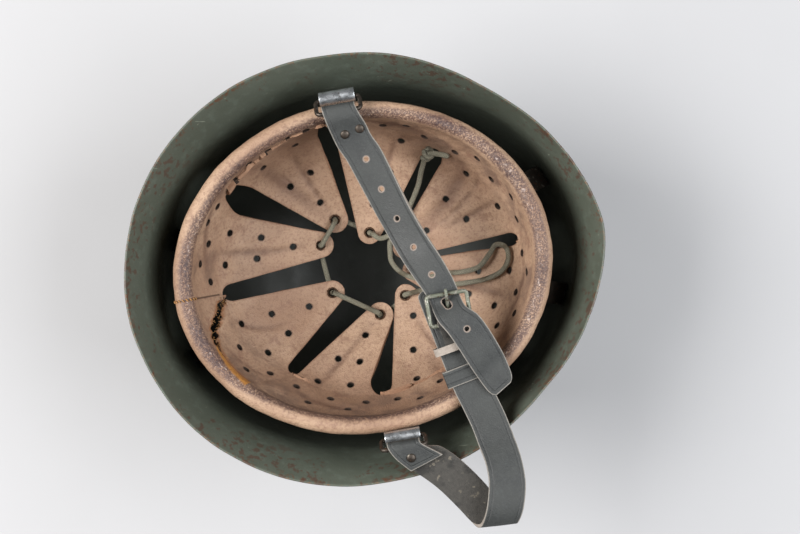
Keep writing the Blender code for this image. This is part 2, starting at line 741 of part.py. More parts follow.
def make_tab(number, angle):
    """Spring tab from inside the hoop out to the shell, under its hollow rivet."""
    seat, out = shell_wall(angle, VENT_HEIGHT)
    wide = Vector((-out.y, out.x, 0.0)).normalized() * (TAB_WIDTH / 2)
    inner = SHELL_WALL + GAP + CURVE_ROOM + BAND_WALL / 2
    path = []
    for reach in TAB_REACHES:
        path.append(shell_wall(angle, VENT_HEIGHT + reach)[0] - out * inner)
    head_angle = math.atan2(path[-1].y, path[-1].x - LINER_SHIFT)
    low = BAND_TOP + BAND_HEIGHT
    for depth in (low + 0.003, low - 0.008):
        inset = band_inset(low) + BAND_WALL + 3 * GAP + CURVE_ROOM + BAND_WALL / 2
        path.append(liner_place(head_angle, 1 - inset / float(liner_reach(head_angle)), depth))
    rings = []
    for i, point in enumerate(path):
        tangent = path[min(i + 1, len(path) - 1)] - path[max(i - 1, 0)]
        thick = wide.cross(tangent).normalized() * (BAND_WALL / 2)
        rings.append([point - wide - thick, point + wide - thick, point + wide + thick, point - wide + thick])
    tab = add("spring_tab_" + number, loft("spring_tab", rings), DARK_STEEL)
    drill = bmesh.new()
    rod_cutter(drill, seat, out, VENT_TUBE + GAP, 0.012, RIVET_SIDES)
    cut(tab, add_cutter("tab_drill_" + number, finish_mesh("tab_drill", drill)))


def make_vent_rivet(number, angle):
    """Hollow rivet through the shell and a tab, which also lets air in."""
    seat, out = shell_wall(angle, VENT_HEIGHT)
    inside = SHELL_WALL + 2 * GAP + CURVE_ROOM + BAND_WALL
    profile = (
        (VENT_BORE, GAP + VENT_HEAD_WALL), (VENT_HEAD, GAP), (VENT_TUBE, GAP), (VENT_TUBE, -inside),
        (VENT_HEAD, -inside), (VENT_BORE, -inside - VENT_HEAD_WALL),
    )
    add_turned("vent_rivet_" + number, profile, seat, out, RIVET_SIDES, BARE_STEEL)


def spread(points, steps):
    """Smooth curve through rows of numbers, each stretch split into steps."""
    rows = np.array(points, dtype=float)
    padded = np.vstack((2 * rows[0] - rows[1], rows, 2 * rows[-1] - rows[-2]))
    made = []
    for i in range(len(rows) - 1):
        a, b, c, d = padded[i:i + 4]
        for k in range(steps):
            t = k / steps
            made.append(
                0.5 * (2 * b + (c - a) * t + (2 * a - 5 * b + 4 * c - d) * t * t + (3 * b - a - 3 * c + d) * t**3)
            )
    made.append(rows[-1])
    return np.array(made)


def ribbon_frames(table, steps):
    """Centre, width direction and half width along a strap from its table.

    Columns: along, across as shares of LINER_HALF_WIDTH, height, heading and lean of the width
    direction in degrees, width as a share of STRAP_WIDTH.
    """
    rows = spread([[*row] for row in table], steps)
    frames = []
    for along, across, height, turn, lean, width in rows:
        centre = Vector((along * LINER_HALF_WIDTH, across * LINER_HALF_WIDTH, height))
        turn, lean = math.radians(turn), math.radians(lean)
        wide = Vector((math.cos(turn) * math.cos(lean), math.sin(turn) * math.cos(lean), math.sin(lean)))
        frames.append((centre, wide, width * STRAP_WIDTH / 2))
    return frames


def ribbon_normals(frames):
    """Direction square to the strap at each frame."""
    made = []
    for i, (_, wide, _) in enumerate(frames):
        tangent = frames[min(i + 1, len(frames) - 1)][0] - frames[max(i - 1, 0)][0]
        made.append(tangent.cross(wide).normalized())
    return made


def ribbon(name, frames, wall, finish):
    """A strap of even thickness along its frames."""
    rings = []
    for (centre, wide, half), normal in zip(frames, ribbon_normals(frames)):
        thick = normal * (wall / 2)
        wide = wide * half
        rings.append([centre - wide - thick, centre + wide - thick, centre + wide + thick, centre - wide + thick])
    return add(name, loft(name, rings), finish)


def strap_spot(frames, distance):
    """Centre and square direction at a distance along a strap from its first frame."""
    normals = ribbon_normals(frames)
    walked = 0.0
    for i in range(len(frames) - 1):
        step = (frames[i + 1][0] - frames[i][0]).length
        if walked + step >= distance:
            share = (distance - walked) / step
            centre = frames[i][0].lerp(frames[i + 1][0], share)
            return centre, normals[i].lerp(normals[i + 1], share).normalized(), i
        walked += step
    return frames[-1][0], normals[-1], len(frames) - 1


# Long strap from its riveted end round the far ring to its tip: along, across, height, heading,
# lean, width
LONG_STRAP = (
    (0.050, FAR_BAR_ACROSS / LINER_HALF_WIDTH - 0.175, FAR_BAR_HEIGHT - BAR_LAYER - 0.0050, 6, 0, 0.96),
    (0.030, FAR_BAR_ACROSS / LINER_HALF_WIDTH - 0.110, FAR_BAR_HEIGHT - BAR_LAYER - 0.0030, 5, 0, 0.96),
    (0.010, FAR_BAR_ACROSS / LINER_HALF_WIDTH - 0.045, FAR_BAR_HEIGHT - BAR_LAYER - 0.0008, 2, 0, 0.94),
    (0.000, FAR_BAR_ACROSS / LINER_HALF_WIDTH + 0.020, FAR_BAR_HEIGHT - BAR_LAYER * 0.85, 0, 0, 0.92),
    (0.000, FAR_BAR_ACROSS / LINER_HALF_WIDTH + 0.036, FAR_BAR_HEIGHT, 0, 0, 0.92),
    (0.000, FAR_BAR_ACROSS / LINER_HALF_WIDTH + 0.018, FAR_BAR_HEIGHT + BAR_LAYER * 0.90, 0, 0, 0.92),
    (0.015, FAR_BAR_ACROSS / LINER_HALF_WIDTH - 0.040, FAR_BAR_HEIGHT + BAR_LAYER - 0.0006, 3, 0, 0.96),
    (0.038, FAR_BAR_ACROSS / LINER_HALF_WIDTH - 0.110, FAR_BAR_HEIGHT - BAR_LAYER + 0.0005, 7, 1, 1.00),
    (0.058, FAR_BAR_ACROSS / LINER_HALF_WIDTH - 0.180, FAR_BAR_HEIGHT - BAR_LAYER - 0.0022, 10, 3, 1.00),
    (0.104, 0.648, ROLL_TOP + 0.0028, 14, 8, 1.00),
    (0.166, 0.453, ROLL_TOP + 0.0005, 19, 17, 1.00),
    (0.229, 0.258, ROLL_TOP - 0.0005, 21, 24, 1.00),
    (0.295, 0.075, ROLL_TOP + 0.0012, 22, 21, 1.00),
    (0.350, -0.055, ROLL_TOP + 0.0048, 23, 10, 0.96),
    (0.395, -0.165, LONG_AT_BAR + 0.0004, 23, 3, 0.90),
    (0.418, BUCKLE_ACROSS + 0.180, LONG_AT_BAR, 18, 1, 0.86),
    (0.426, BUCKLE_ACROSS + 0.138, LONG_AT_BAR + 0.0003, 17, 2, 0.86),
    (0.447, BUCKLE_ACROSS + 0.060, LONG_AT_BAR + 0.0053, 18, 0, 0.88),
    (0.500, BUCKLE_ACROSS - 0.010, LONG_AT_HINGE, 24, -1, 0.97),
    (0.545, BUCKLE_ACROSS - 0.100, LONG_AT_KEEPER_1 + 0.0006, 26, 0, 1.00),
    (0.590, BUCKLE_ACROSS - 0.210, LONG_AT_KEEPER_1 - 0.0008, 28, 0, 0.99),
    (0.625, -0.715, LONG_AT_KEEPER_2 + 0.0006, 30, 0, 0.95),
    (0.652, -0.790, LONG_AT_KEEPER_2 + 0.0003, 32, 0, 0.86),
    (0.668, -0.830, LONG_AT_KEEPER_2, 32, 0, 0.72),
    (0.675, -0.848, LONG_AT_KEEPER_2, 32, 0, 0.50),
)

NEAR_BAR_SHARE = NEAR_BAR_ACROSS / LINER_HALF_WIDTH

# Short strap from its rounded end under the buckle, over the rim and back to the near ring
SHORT_STRAP = (
    (0.362, -0.186, SHORT_LAYER, 10, 0, 0.55),
    (0.368, -0.205, SHORT_LAYER, 10, 0, 0.90),
    (0.378, -0.250, SHORT_LAYER, 10, 0, 1.00),
    (0.412, BUCKLE_ACROSS, SHORT_LAYER, 10, 0, 1.00),
    (0.440, -0.560, SHORT_LAYER, 10, 0, 1.00),
    (0.468, -0.700, SHORT_LAYER, 11, 0, 1.00),
    (0.490, -0.800, SHORT_LAYER, 13, 0, 1.00),
    (0.520, -0.900, SHORT_LAYER + 0.0010, 15, 0, 1.00),
    (0.553, -1.020, SHORT_LAYER + 0.0045, 14, 0, 1.00),
    (0.575, -1.140, RIM_HEIGHT + 0.0040, 5, 0, 1.00),
    (0.592, -1.250, RIM_HEIGHT + 0.0090, -6, 0, 1.00),
    (0.590, -1.370, RIM_HEIGHT + 0.0125, -11, 0, 1.00),
    (0.556, -1.500, RIM_HEIGHT + 0.0135, -9, 0, 1.00),
    (0.520, -1.578, RIM_HEIGHT + 0.0115, -5, 0, 1.00),
    (0.492, -1.610, RIM_HEIGHT + 0.0070, -2, 0, 1.00),
    (0.458, -1.575, RIM_HEIGHT + 0.0028, 6, 0, 1.00),
    (0.400, -1.470, RIM_HEIGHT + 0.0016, 22, 0, 1.00),
    (0.320, -1.350, RIM_HEIGHT + 0.0018, 36, 0, 1.00),
    (0.240, -1.250, RIM_HEIGHT + 0.0022, 40, 0, 1.00),
    (0.150, -1.165, RIM_HEIGHT + 0.0026, 30, 0, 1.00),
    (0.082, NEAR_BAR_SHARE - 0.040, NEAR_BAR_HEIGHT - BAR_LAYER, 12, 0, 0.93),
    (0.038, NEAR_BAR_SHARE + 0.012, NEAR_BAR_HEIGHT - BAR_LAYER * 0.95, 2, 0, 0.90),
    (0.036, NEAR_BAR_SHARE + 0.034, NEAR_BAR_HEIGHT, 0, 0, 0.90),
    (0.038, NEAR_BAR_SHARE + 0.012, NEAR_BAR_HEIGHT + BAR_LAYER * 0.95, 2, 0, 0.90),
    (0.078, NEAR_BAR_SHARE - 0.040, NEAR_BAR_HEIGHT + BAR_LAYER - 0.0004, 12, 0, 0.93),
    (0.150, NEAR_BAR_SHARE - 0.110, NEAR_BAR_HEIGHT + BAR_LAYER - 0.0022, 18, 0, 0.98),
)

HINGE = Vector((BUCKLE_ALONG * LINER_HALF_WIDTH, BUCKLE_ACROSS * LINER_HALF_WIDTH, HINGE_HEIGHT))
TOP_BAR = HINGE + Vector((0, BUCKLE_LENGTH, TOP_BAR_HEIGHT - HINGE_HEIGHT))
PRONG_LIFT = BUCKLE_WIRE / 2 + GAP + PRONG_WIRE / 2
PIERCED = HINGE.lerp(TOP_BAR, 0.66)

# Rivets through both layers of a strap: place along and across it from its ring's bar
FAR_RIVETS = ((0.001, -0.0130), (0.0100, -0.0112))
NEAR_RIVETS = ((0.0030, -0.0062), (0.0125, -0.0042))


def nearest_frame(frames, x, y):
    """Index of the frame of a strap nearest to a plan point."""
    return min(range(len(frames)), key=lambda i: math.hypot(frames[i][0].x - x, frames[i][0].y - y))


def strap_facet(frames, x, y):
    """Point of a strap over a plan point, and the upward direction square to the strap there."""
    normals = ribbon_normals(frames)
    i = nearest_frame(frames, x, y)
    centre = frames[i][0]
    normal = normals[i] if normals[i].z > 0 else -normals[i]
    height = centre.z - ((x - centre.x) * normal.x + (y - centre.y) * normal.y) / normal.z
    return Vector((x, y, height)), normal


def make_strap_rivets(name, strap, frames, bar, spots):
    """Two domed rivets through the two layers of a strap behind its ring's bar."""
    fold = max(range(len(frames)), key=lambda i: frames[i][0].y if abs(frames[i][0].y - bar.y) < 0.006 else -1)
    layers = sorted((frames[:fold], frames[fold:]), key=lambda part: nearest_height(part, bar))
    punch = bmesh.new()
    for number, (along, across) in enumerate(spots):
        top, normal = strap_facet(layers[1], bar.x + along, bar.y + across)
        low, _ = strap_facet(layers[0], bar.x + along, bar.y + across)
        upper = STRAP_WALL / 2 + STRAP_RIVET_ROOM
        lower = -(top.z - low.z) * normal.z - upper
        rod_cutter(punch, top + normal * lower / 2, normal, STRAP_RIVET_RADIUS + GAP, 0.016, RIVET_SIDES)
        profile = (
            (0.0, upper + 0.0012), (STRAP_RIVET_HEAD, upper), (STRAP_RIVET_RADIUS, upper),
            (STRAP_RIVET_RADIUS, lower), (STRAP_RIVET_HEAD, lower), (0.0, lower - 0.0008),
        )
        add_turned(name + "_" + str(number + 1), profile, top, normal, RIVET_SIDES, DARK_STEEL)
    cut(strap, add_cutter(name + "_punch", finish_mesh(name + "_punch", punch)))


def nearest_height(frames, bar):
    """Height of the frame that lies nearest to a ring's bar in plan."""
    return frames[nearest_frame(frames, bar.x, bar.y - 0.006)][0].z


def make_strap_holes(strap, frames):
    """Round holes along the long strap, the one under the prong pulled long."""
    distances = [0.0]
    for i in range(len(frames) - 1):
        distances.append(distances[-1] + (frames[i + 1][0] - frames[i][0]).length)
    start = float(np.interp(-PIERCED.y, [-frame[0].y for frame in frames[8:]], distances[8:]))
    punch = bmesh.new()
    for k in range(-1, 6):
        centre, normal, i = strap_spot(frames, start - k * STRAP_HOLE_PITCH)
        if k == 0:
            walk = (frames[i + 1][0] - frames[i][0]).normalized()
            slot = bmesh.ops.create_cube(punch, size=1.0)
            side = normal.cross(walk)
            for vert in slot["verts"]:
                x, y, z = vert.co
                vert.co = centre + walk * x * PRONG_SLOT + side * y * 2.6 * STRAP_HOLE + normal * z * 0.006
        else:
            rod_cutter(punch, centre, normal, STRAP_HOLE, 0.006, AIR_HOLE_SIDES)
    cut(strap, add_cutter("strap_punch", finish_mesh("strap_punch", punch)))


def thinned(frames):
    """Leave out the frames where the strap runs nearly straight."""
    kept = [frames[0]]
    for i in range(1, len(frames) - 1):
        before = (frames[i][0] - kept[-1][0]).normalized()
        after = (frames[i + 1][0] - frames[i][0]).normalized()
        if before.angle(after) > STRAP_BEND or (frames[i][0] - kept[-1][0]).length > STRAP_STRETCH:
            kept.append(frames[i])
    return kept + [frames[-1]]


def make_straps():
    """Both straps of the chin strap, buckled as they lie."""
    long_frames = thinned(ribbon_frames(LONG_STRAP, 2))
    long_strap = ribbon("strap_long", long_frames, STRAP_WALL, STRAP)
    make_strap_holes(long_strap, long_frames)
    far_bar = Vector((bracket_along(1), FAR_BAR_ACROSS, FAR_BAR_HEIGHT))
    make_strap_rivets("rivet_far", long_strap, long_frames, far_bar, FAR_RIVETS)
    short_frames = thinned(ribbon_frames(SHORT_STRAP, 2))
    short_strap = ribbon("strap_short", short_frames, STRAP_WALL, STRAP)
    near_bar = Vector((bracket_along(-1), NEAR_BAR_ACROSS, NEAR_BAR_HEIGHT))
    make_strap_rivets("rivet_near", short_strap, short_frames, near_bar, NEAR_RIVETS)
    return short_frames


def make_keeper(name, frames, across, top, length):
    """Leather loop round the short strap."""
    i = nearest_frame(frames, 0.45 * LINER_HALF_WIDTH, across)
    centre, wide, _ = frames[i]
    centre = Vector((centre.x, centre.y, 0.0)) + (frames[i + 1][0] - centre).normalized() * (across - centre.y) * -1
    walk = wide.cross(Vector((0, 0, 1))).normalized() * (length / 2)
    reach = STRAP_WIDTH / 2 + KEEPER_SIDE_ROOM
    corner = STRAP_WALL / 2
    path = (
        (reach, SHORT_LAYER - corner), (reach, SHORT_LAYER + corner), (reach - corner, top), (0.0, top),
        (corner - reach, top), (-reach, SHORT_LAYER + corner), (-reach, SHORT_LAYER - corner),
        (corner - reach, KEEPER_UNDER), (0.0, KEEPER_UNDER), (reach - corner, KEEPER_UNDER),
    )
    rings = []
    for k, (side, height) in enumerate(path):
        before = path[k - 1]
        after = path[(k + 1) % len(path)]
        tangent = np.array((after[0] - before[0], after[1] - before[1]))
        out = np.array((tangent[1], -tangent[0])) / np.hypot(*tangent) * KEEPER_WALL / 2
        corners = []
        for outward, onward in ((1, -1), (1, 1), (-1, 1), (-1, -1)):
            spot = centre + wide * (side + out[0] * outward) + walk * onward
            spot.z = height + out[1] * outward
            corners.append(spot)
        rings.append(corners)
    add(name, loft(name, rings, closed=True), STRAP)


def make_chape():
    """Folded leather that holds the hinge bar, slotted for the prong."""
    walk = Vector((0.190, -1.0, 0.0)) * 0.982
    path = [(0.0165, CHAPE_UNDER - HINGE.z), (0.0090, CHAPE_UNDER - HINGE.z)]
    for step in range(5):
        turn = math.radians(270 - 45 * step)
        path.append((CHAPE_FOLD * math.cos(turn), CHAPE_FOLD * math.sin(turn)))
    path += [(0.0045, CHAPE_FOLD - 0.0004), (0.0090, CHAPE_OVER - HINGE.z + 0.0002), (0.0165, CHAPE_OVER - HINGE.z)]
    rings = []
    for i, (back, up) in enumerate(path):
        tangent = np.subtract(path[min(i + 1, len(path) - 1)], path[max(i - 1, 0)])
        normal = np.array((-tangent[1], tangent[0])) / np.hypot(*tangent) * CHAPE_WALL / 2
        corners = []
        for side, half in ((-1, -1), (1, -1), (1, 1), (-1, 1)):
            spot = HINGE + walk * (back + half * normal[0]) + Vector((side * CHAPE_WIDTH / 2, 0, 0))
            spot.z += up + half * normal[1]
            corners.append(spot)
        rings.append(corners)
    chape = add("buckle_chape", loft("buckle_chape", rings), STRAP)
    slot = bmesh.new()
    made = bmesh.ops.create_cube(slot, size=1.0)
    for vert in made["verts"]:
        x, y, z = vert.co
        vert.co = HINGE + Vector((x * (PRONG_WIRE + 0.0014), y * 0.011, z * 0.011))
    cut(chape, add_cutter("chape_slot", finish_mesh("chape_slot", slot)))


def wire_loop(first, last, half_width, corner):
    """Rectangle of wire between two parallel bars, its corners rounded."""
    leg = (last - first).normalized() * corner
    points = []
    for bar, inward, order in ((first, leg, 1), (last, -leg, -1)):
        for hand in (1, -1):
            at = bar + Vector((hand * order * half_width, 0, 0))
            bar_step = Vector((-hand * order * corner, 0, 0))
            turn = (inward, bar_step) if hand == 1 else (bar_step, inward)
            points += [at + turn[0], at + (turn[0] + turn[1]) * 0.29, at + turn[1]]
    return points


def make_buckle():
    """Wire frame whose hinge bar lies under the long strap and whose top bar lies over it."""
    half = (BUCKLE_INNER_WIDTH + BUCKLE_WIRE) / 2
    points = wire_loop(TOP_BAR, HINGE, half, BUCKLE_CORNER)
    wire("buckle_frame", points, BUCKLE_WIRE, BUCKLE_PAINT, closed=True, resolution=1)


def make_prong():
    """Prong that loops the hinge bar, goes up through the strap and lies over the top bar."""
    points = []
    for step in range(8):
        turn = math.radians(60 + 30 * step)
        points.append(HINGE + Vector((0, PRONG_LIFT * math.cos(turn), PRONG_LIFT * math.sin(turn))))
    low = SHORT_LAYER + STRAP_WALL / 2 + 2 * GAP + PRONG_WIRE / 2
    for shift, height in ((-0.0045, low), (-0.0023, low + 0.0005), (0.0, low + 0.0015), (0.0020, low + 0.0031)):
        points.append(Vector((HINGE.x, PIERCED.y + shift, height)))
    for degrees in (140, 95):
        turn = math.radians(degrees)
        points.append(TOP_BAR + Vector((0, PRONG_LIFT * math.cos(turn), PRONG_LIFT * math.sin(turn))))
    points.append(TOP_BAR + Vector((0, 0.0022, PRONG_LIFT)))
    wire("buckle_prong", points, PRONG_WIRE, BUCKLE_PAINT, resolution=1)


def make_ring(name, along, side, bar_across, bar_height):
    """Wire ring from a bracket's tube to the strap's fold."""
    tube = Vector((along, side * BRACKET_ACROSS, BRACKET_HEIGHT))
    bar = Vector((along, bar_across, bar_height))
    tube += (bar - tube).normalized() * RING_SEAT
    wire(name, wire_loop(tube, bar, RING_HALF_WIDTH, RING_CORNER), RING_WIRE, DARK_STEEL, True, 1)


def tail_across(height):
    """Distance from the middle to the bracket's tail at a height, clear of the liner's tail."""
    inset = TAIL_INSET * max(RIM_HEIGHT - ROLL_DEPTH - height, 0.0) / TAIL_LENGTH
    return LINER_HALF_WIDTH - inset + 2 * GAP + BRACKET_WALL / 2


def bracket_along(side):
    return 0.0 if side > 0 else NEAR_BRACKET_ALONG


def bracket_rivet_seat(side):
    """Place on the liner's outer face and outward direction of a bracket's rivet."""
    depth = BAND_TOP + BAND_HEIGHT * 0.55
    inset = TAIL_INSET * (depth - ROLL_DEPTH) / TAIL_LENGTH
    place = Vector((bracket_along(side), side * (LINER_HALF_WIDTH - inset), RIM_HEIGHT - depth))
    return place, Vector((0, side, -TAIL_INSET / TAIL_LENGTH)).normalized()


def make_bracket(name, side):
    """Sheet steel folded round a ring, its tail riveted on the outside of the liner."""
    along = bracket_along(side)
    across = side * BRACKET_ACROSS
    path = []
    for step in range(9):
        turn = math.radians(-70 + 36 * step)
        radius = BRACKET_TUBE_RADIUS
        path.append((across + side * radius * math.cos(turn), BRACKET_HEIGHT + radius * math.sin(turn)))
    for drop in (0.0, 0.5, 1.0):
        height = RIM_HEIGHT - ROLL_DEPTH - BRACKET_TAIL * drop
        path.append((side * tail_across(height), height))
    rings = []
    for i, point in enumerate(path):
        tangent = np.subtract(path[min(i + 1, len(path) - 1)], path[max(i - 1, 0)])
        normal = np.array((-tangent[1], tangent[0])) / np.hypot(*tangent) * BRACKET_WALL / 2
        corners = []
        for hand, half in ((-1, 1), (1, 1), (1, -1), (-1, -1)):
            spot = np.add(point, half * normal)
            corners.append((along + hand * BRACKET_HALF_WIDTH, spot[0], spot[1]))
        rings.append(corners)
    bracket = add(name, loft(name, rings), BARE_STEEL)
    drill = bmesh.new()
    place, out = bracket_rivet_seat(side)
    rod_cutter(drill, place, out, STRAP_RIVET_RADIUS + GAP, 0.012, RIVET_SIDES)
    cut(bracket, add_cutter(name + "_drill", finish_mesh(name + "_drill", drill)))
    outer = BRACKET_WALL + 3 * GAP + CURVE_ROOM
    inner = -(LEATHER_WALL + BAND_WALL + 4 * GAP + CURVE_ROOM)
    profile = (
        (0.0, outer + 0.0010), (STRAP_RIVET_HEAD, outer), (STRAP_RIVET_RADIUS, outer),
        (STRAP_RIVET_RADIUS, inner), (STRAP_RIVET_HEAD, inner), (0.0, inner - 0.0008),
    )
    add_turned(name + "_rivet", profile, place, out, RIVET_SIDES, DARK_STEEL)


# Lace over the liner's crown: degrees from the front and share of the liner outline, and height
# above the bowl, first the free tail and the bow up to eyelet f, then from eyelet c to the other end
LACE_START = (
    (43.5, 0.815, 0.0046), (47.0, 0.804, 0.0044), (51.1, 0.780, 0.0040), (50.3, 0.697, 0.0036), (47.5, 0.597, 0.0038),
    (45.0, 0.482, 0.0040), (41.7, 0.355, 0.0044), (40.0, 0.235, 0.0050), (22.0, 0.165, 0.0055), (1.6, 0.151, 0.0058),
    (-17.7, 0.205, 0.0062), (-22.0, 0.300, 0.0062), (-18.0, 0.380, 0.0060), (-14.0, 0.460, 0.0055),
    (-12.5, 0.550, 0.0048), (-9.5, 0.640, 0.0046), (-3.5, 0.700, 0.0050), (0.0, 0.740, 0.0055),
    (-1.8, 0.785, 0.0058), (-6.5, 0.792, 0.0058), (-11.5, 0.760, 0.0055), (-15.5, 0.680, 0.0050),
    (-18.5, 0.585, 0.0050), (-22.5, 0.480, 0.0052), (-29.0, 0.385, 0.0056),
)
LACE_END = ((66.0, 0.215, 0.0080), (55.0, 0.205, 0.0085), (46.0, 0.235, 0.0090), (42.0, 0.290, 0.0090))
# Eyelets in the order the lace takes them, and whether it leaves each one underneath
LACE_ORDER = (("f", True), ("g", False), ("h", True), ("a", False), ("b", True), ("c", False))


def lace_spot(row):
    degrees, share, lift = row
    angle = math.radians(degrees)
    return liner_place(angle, share, bowl_depth(max(share, 0.15)) - lift - LACE_LIFT * share)


def through_eyelet(tongue, before, after, down):
    """Points of the lace round one eyelet's rim, through its bore and round the other rim."""
    place = eyelet_place(tongue)
    axis = eyelet_axis(tongue)
    turns = ((LACE_DIAMETER, 1.0), (LACE_DIAMETER * 0.92, 0.35), (LACE_DIAMETER * 0.55, 0.0))
    top_side, low_side = (before, after) if down else (after, before)
    top, low = [], []
    for lift, run in turns:
        for points, height, aim in ((top, lift, top_side), (low, -lift - LEATHER_WALL, low_side)):
            toward = aim - place
            flat = (toward - axis * toward.dot(axis)).normalized()
            points.append(place + axis * height + flat * run * LACE_DIAMETER * 0.8)
    return top + low[::-1] if down else low + top[::-1]


def make_lace():
    """Lace tied over the crown: over, through and under the eyelets of six tongues."""
    names = [row[0] for row in TONGUES]
    points = [lace_spot(row) for row in LACE_START]
    ends = [lace_spot(row) for row in LACE_END]
    order = [names.index(name) for name, _ in LACE_ORDER]
    places = [eyelet_place(tongue) for tongue in order]
    stops = [points[-1], *places, ends[0]]
    for i, (tongue, (_, down)) in enumerate(zip(order, LACE_ORDER)):
        points += through_eyelet(tongue, stops[i], stops[i + 2], down)
    wire("lace", points + ends, LACE_DIAMETER, LACE, resolution=1)


make_shell()
make_liner()
make_eyelets()
make_lace()
make_core()
bracket_hole = make_band()
cut(bpy.data.objects["leather_liner"], bracket_hole)
for position, vent_angle in enumerate(VENT_ANGLES):
    make_tab(str(position + 1), vent_angle)
    make_vent_rivet(str(position + 1), vent_angle)
short_strap_frames = make_straps()
make_keeper("keeper_1", short_strap_frames, -0.0540, KEEPER_1_TOP, KEEPER_WIDTHS[0])
make_keeper("keeper_2", short_strap_frames, -0.0715, KEEPER_2_TOP, KEEPER_WIDTHS[1])
make_chape()
make_buckle()
make_prong()
make_ring("ring_far", bracket_along(1), 1, FAR_BAR_ACROSS, FAR_BAR_HEIGHT)
make_ring("ring_near", bracket_along(-1), -1, NEAR_BAR_ACROSS, NEAR_BAR_HEIGHT)
make_bracket("bracket_far", 1)
make_bracket("bracket_near", -1)
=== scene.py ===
# %% [markdown]
# # A steel helmet lying on its crown
# The helmet lies upside down, so we look down into its leather liner, over which the buckled chin
# strap runs. Every piece is worked out with numpy as a surface of two numbers, or as a profile that
# is carried along a path, and then given to Blender as a mesh.

# %% Load the fixed frame
import math

import bpy
import numpy as np
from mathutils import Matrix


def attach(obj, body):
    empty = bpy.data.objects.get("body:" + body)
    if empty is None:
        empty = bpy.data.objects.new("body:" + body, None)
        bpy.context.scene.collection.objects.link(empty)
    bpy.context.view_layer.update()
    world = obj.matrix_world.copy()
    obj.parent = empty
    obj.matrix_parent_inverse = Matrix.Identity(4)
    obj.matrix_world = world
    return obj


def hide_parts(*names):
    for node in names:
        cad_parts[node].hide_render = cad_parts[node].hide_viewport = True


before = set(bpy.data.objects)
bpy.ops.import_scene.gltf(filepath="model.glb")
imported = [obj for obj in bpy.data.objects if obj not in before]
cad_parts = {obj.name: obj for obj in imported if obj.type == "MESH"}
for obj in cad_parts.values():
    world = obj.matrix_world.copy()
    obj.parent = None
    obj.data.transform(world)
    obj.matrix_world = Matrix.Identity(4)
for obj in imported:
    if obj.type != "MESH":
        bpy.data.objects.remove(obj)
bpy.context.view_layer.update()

# %% [markdown]
# ## Camera
# The photo was taken from straight above the open side. A camera that hangs over the middle and is
# turned ten degrees about the vertical gives the same view: the visor points right, slightly down.

# %% Camera
CAMERA_PLACE = (0.0192, -0.0034, 0.811)
CAMERA_TURN = math.radians(-10)

camera_data = bpy.data.cameras.new("camera")
camera_data.lens = 50
camera_data.sensor_width = 36
camera = bpy.data.objects.new("camera", camera_data)
camera.location = CAMERA_PLACE
camera.rotation_euler = (0, 0, CAMERA_TURN)
bpy.context.scene.collection.objects.link(camera)
bpy.context.scene.camera = camera

# %% [markdown]
# ## Meshes from arrays
# A grid of points needs only its number of rows and columns to know its faces. Holes are made in
# the same arrays: the faces inside a hole are left out and the corners round it are pulled onto its
# edge, which keeps a wall's thickness simple to add afterwards.


# %% Mesh helpers
def unit(vectors):
    return vectors / np.maximum(np.linalg.norm(vectors, axis=-1, keepdims=True), 1e-12)


def grid_faces(rows, columns, wrap_rows=False, wrap_columns=False):
    """Faces of a grid whose points are counted row by row: each joins a point to its neighbours."""
    row = np.arange(rows if wrap_rows else rows - 1)[:, None]
    column = np.arange(columns if wrap_columns else columns - 1)[None, :]
    next_row = (row + 1) % rows
    next_column = (column + 1) % columns
    here, below = row * columns, next_row * columns
    corners = (here + column, here + next_column, below + next_column, below + column)
    return np.stack(corners, axis=-1).reshape(-1, 4)


def make_piece(name, points, faces, finishes, values=None, uv=None, lids=()):
    """A mesh object from arrays: points, four-cornered faces, numbers and a UV per point, and lids,
    which are faces of more corners."""
    corners = np.concatenate([faces.ravel(), *[np.asarray(lid) for lid in lids]]).astype(int)
    used, corners = np.unique(corners, return_inverse=True)
    corners = corners.ravel()
    quads = corners[:faces.size].reshape(-1, 4).tolist()
    start = faces.size
    for lid in lids:
        quads.append(corners[start:start + len(lid)].tolist())
        start += len(lid)
    mesh = bpy.data.meshes.new(name)
    mesh.from_pydata(points[used].tolist(), [], quads)
    for key, numbers in (values or {}).items():
        layer = mesh.attributes.new(key, "FLOAT", "POINT")
        layer.data.foreach_set("value", np.ascontiguousarray(numbers[used], dtype=np.float32))
    if uv is not None:
        layer = mesh.uv_layers.new(name="surface")
        layer.data.foreach_set("uv", uv[used][corners].astype(np.float32).ravel())
    for finish in finishes:
        mesh.materials.append(finish)
    mesh.shade_smooth()
    piece = bpy.data.objects.new(name, mesh)
    bpy.context.scene.collection.objects.link(piece)
    return piece


# %% Walls and edges
def give_wall(piece, wall, offset=-1.0, back=0, rim=0):
    """Turn a surface into a sheet; back and rim say how many finishes further those sides are."""
    change = piece.modifiers.new("wall", "SOLIDIFY")
    change.thickness = wall
    change.offset = offset
    change.use_even_offset = False
    change.material_offset = back
    change.material_offset_rim = rim


def soften_edges(piece, width, degrees):
    """Round every edge where faces meet at more than the degrees."""
    change = piece.modifiers.new("soft_edges", "BEVEL")
    change.width = width
    change.segments = 2
    change.limit_method = "ANGLE"
    change.angle_limit = math.radians(degrees)


def settle(piece, sharp=50.0):
    """Apply the modifiers, and keep a crisp edge wherever two faces meet at more than sharp degrees."""
    evaluated = piece.evaluated_get(bpy.context.evaluated_depsgraph_get())
    mesh = bpy.data.meshes.new_from_object(evaluated)
    piece.modifiers.clear()
    piece.data = mesh
    mesh.shade_smooth()
    mesh.set_sharp_from_angle(angle=math.radians(sharp))
    mesh.calc_loop_triangles()
    print(piece.name, len(mesh.loop_triangles), "triangles")
    return piece


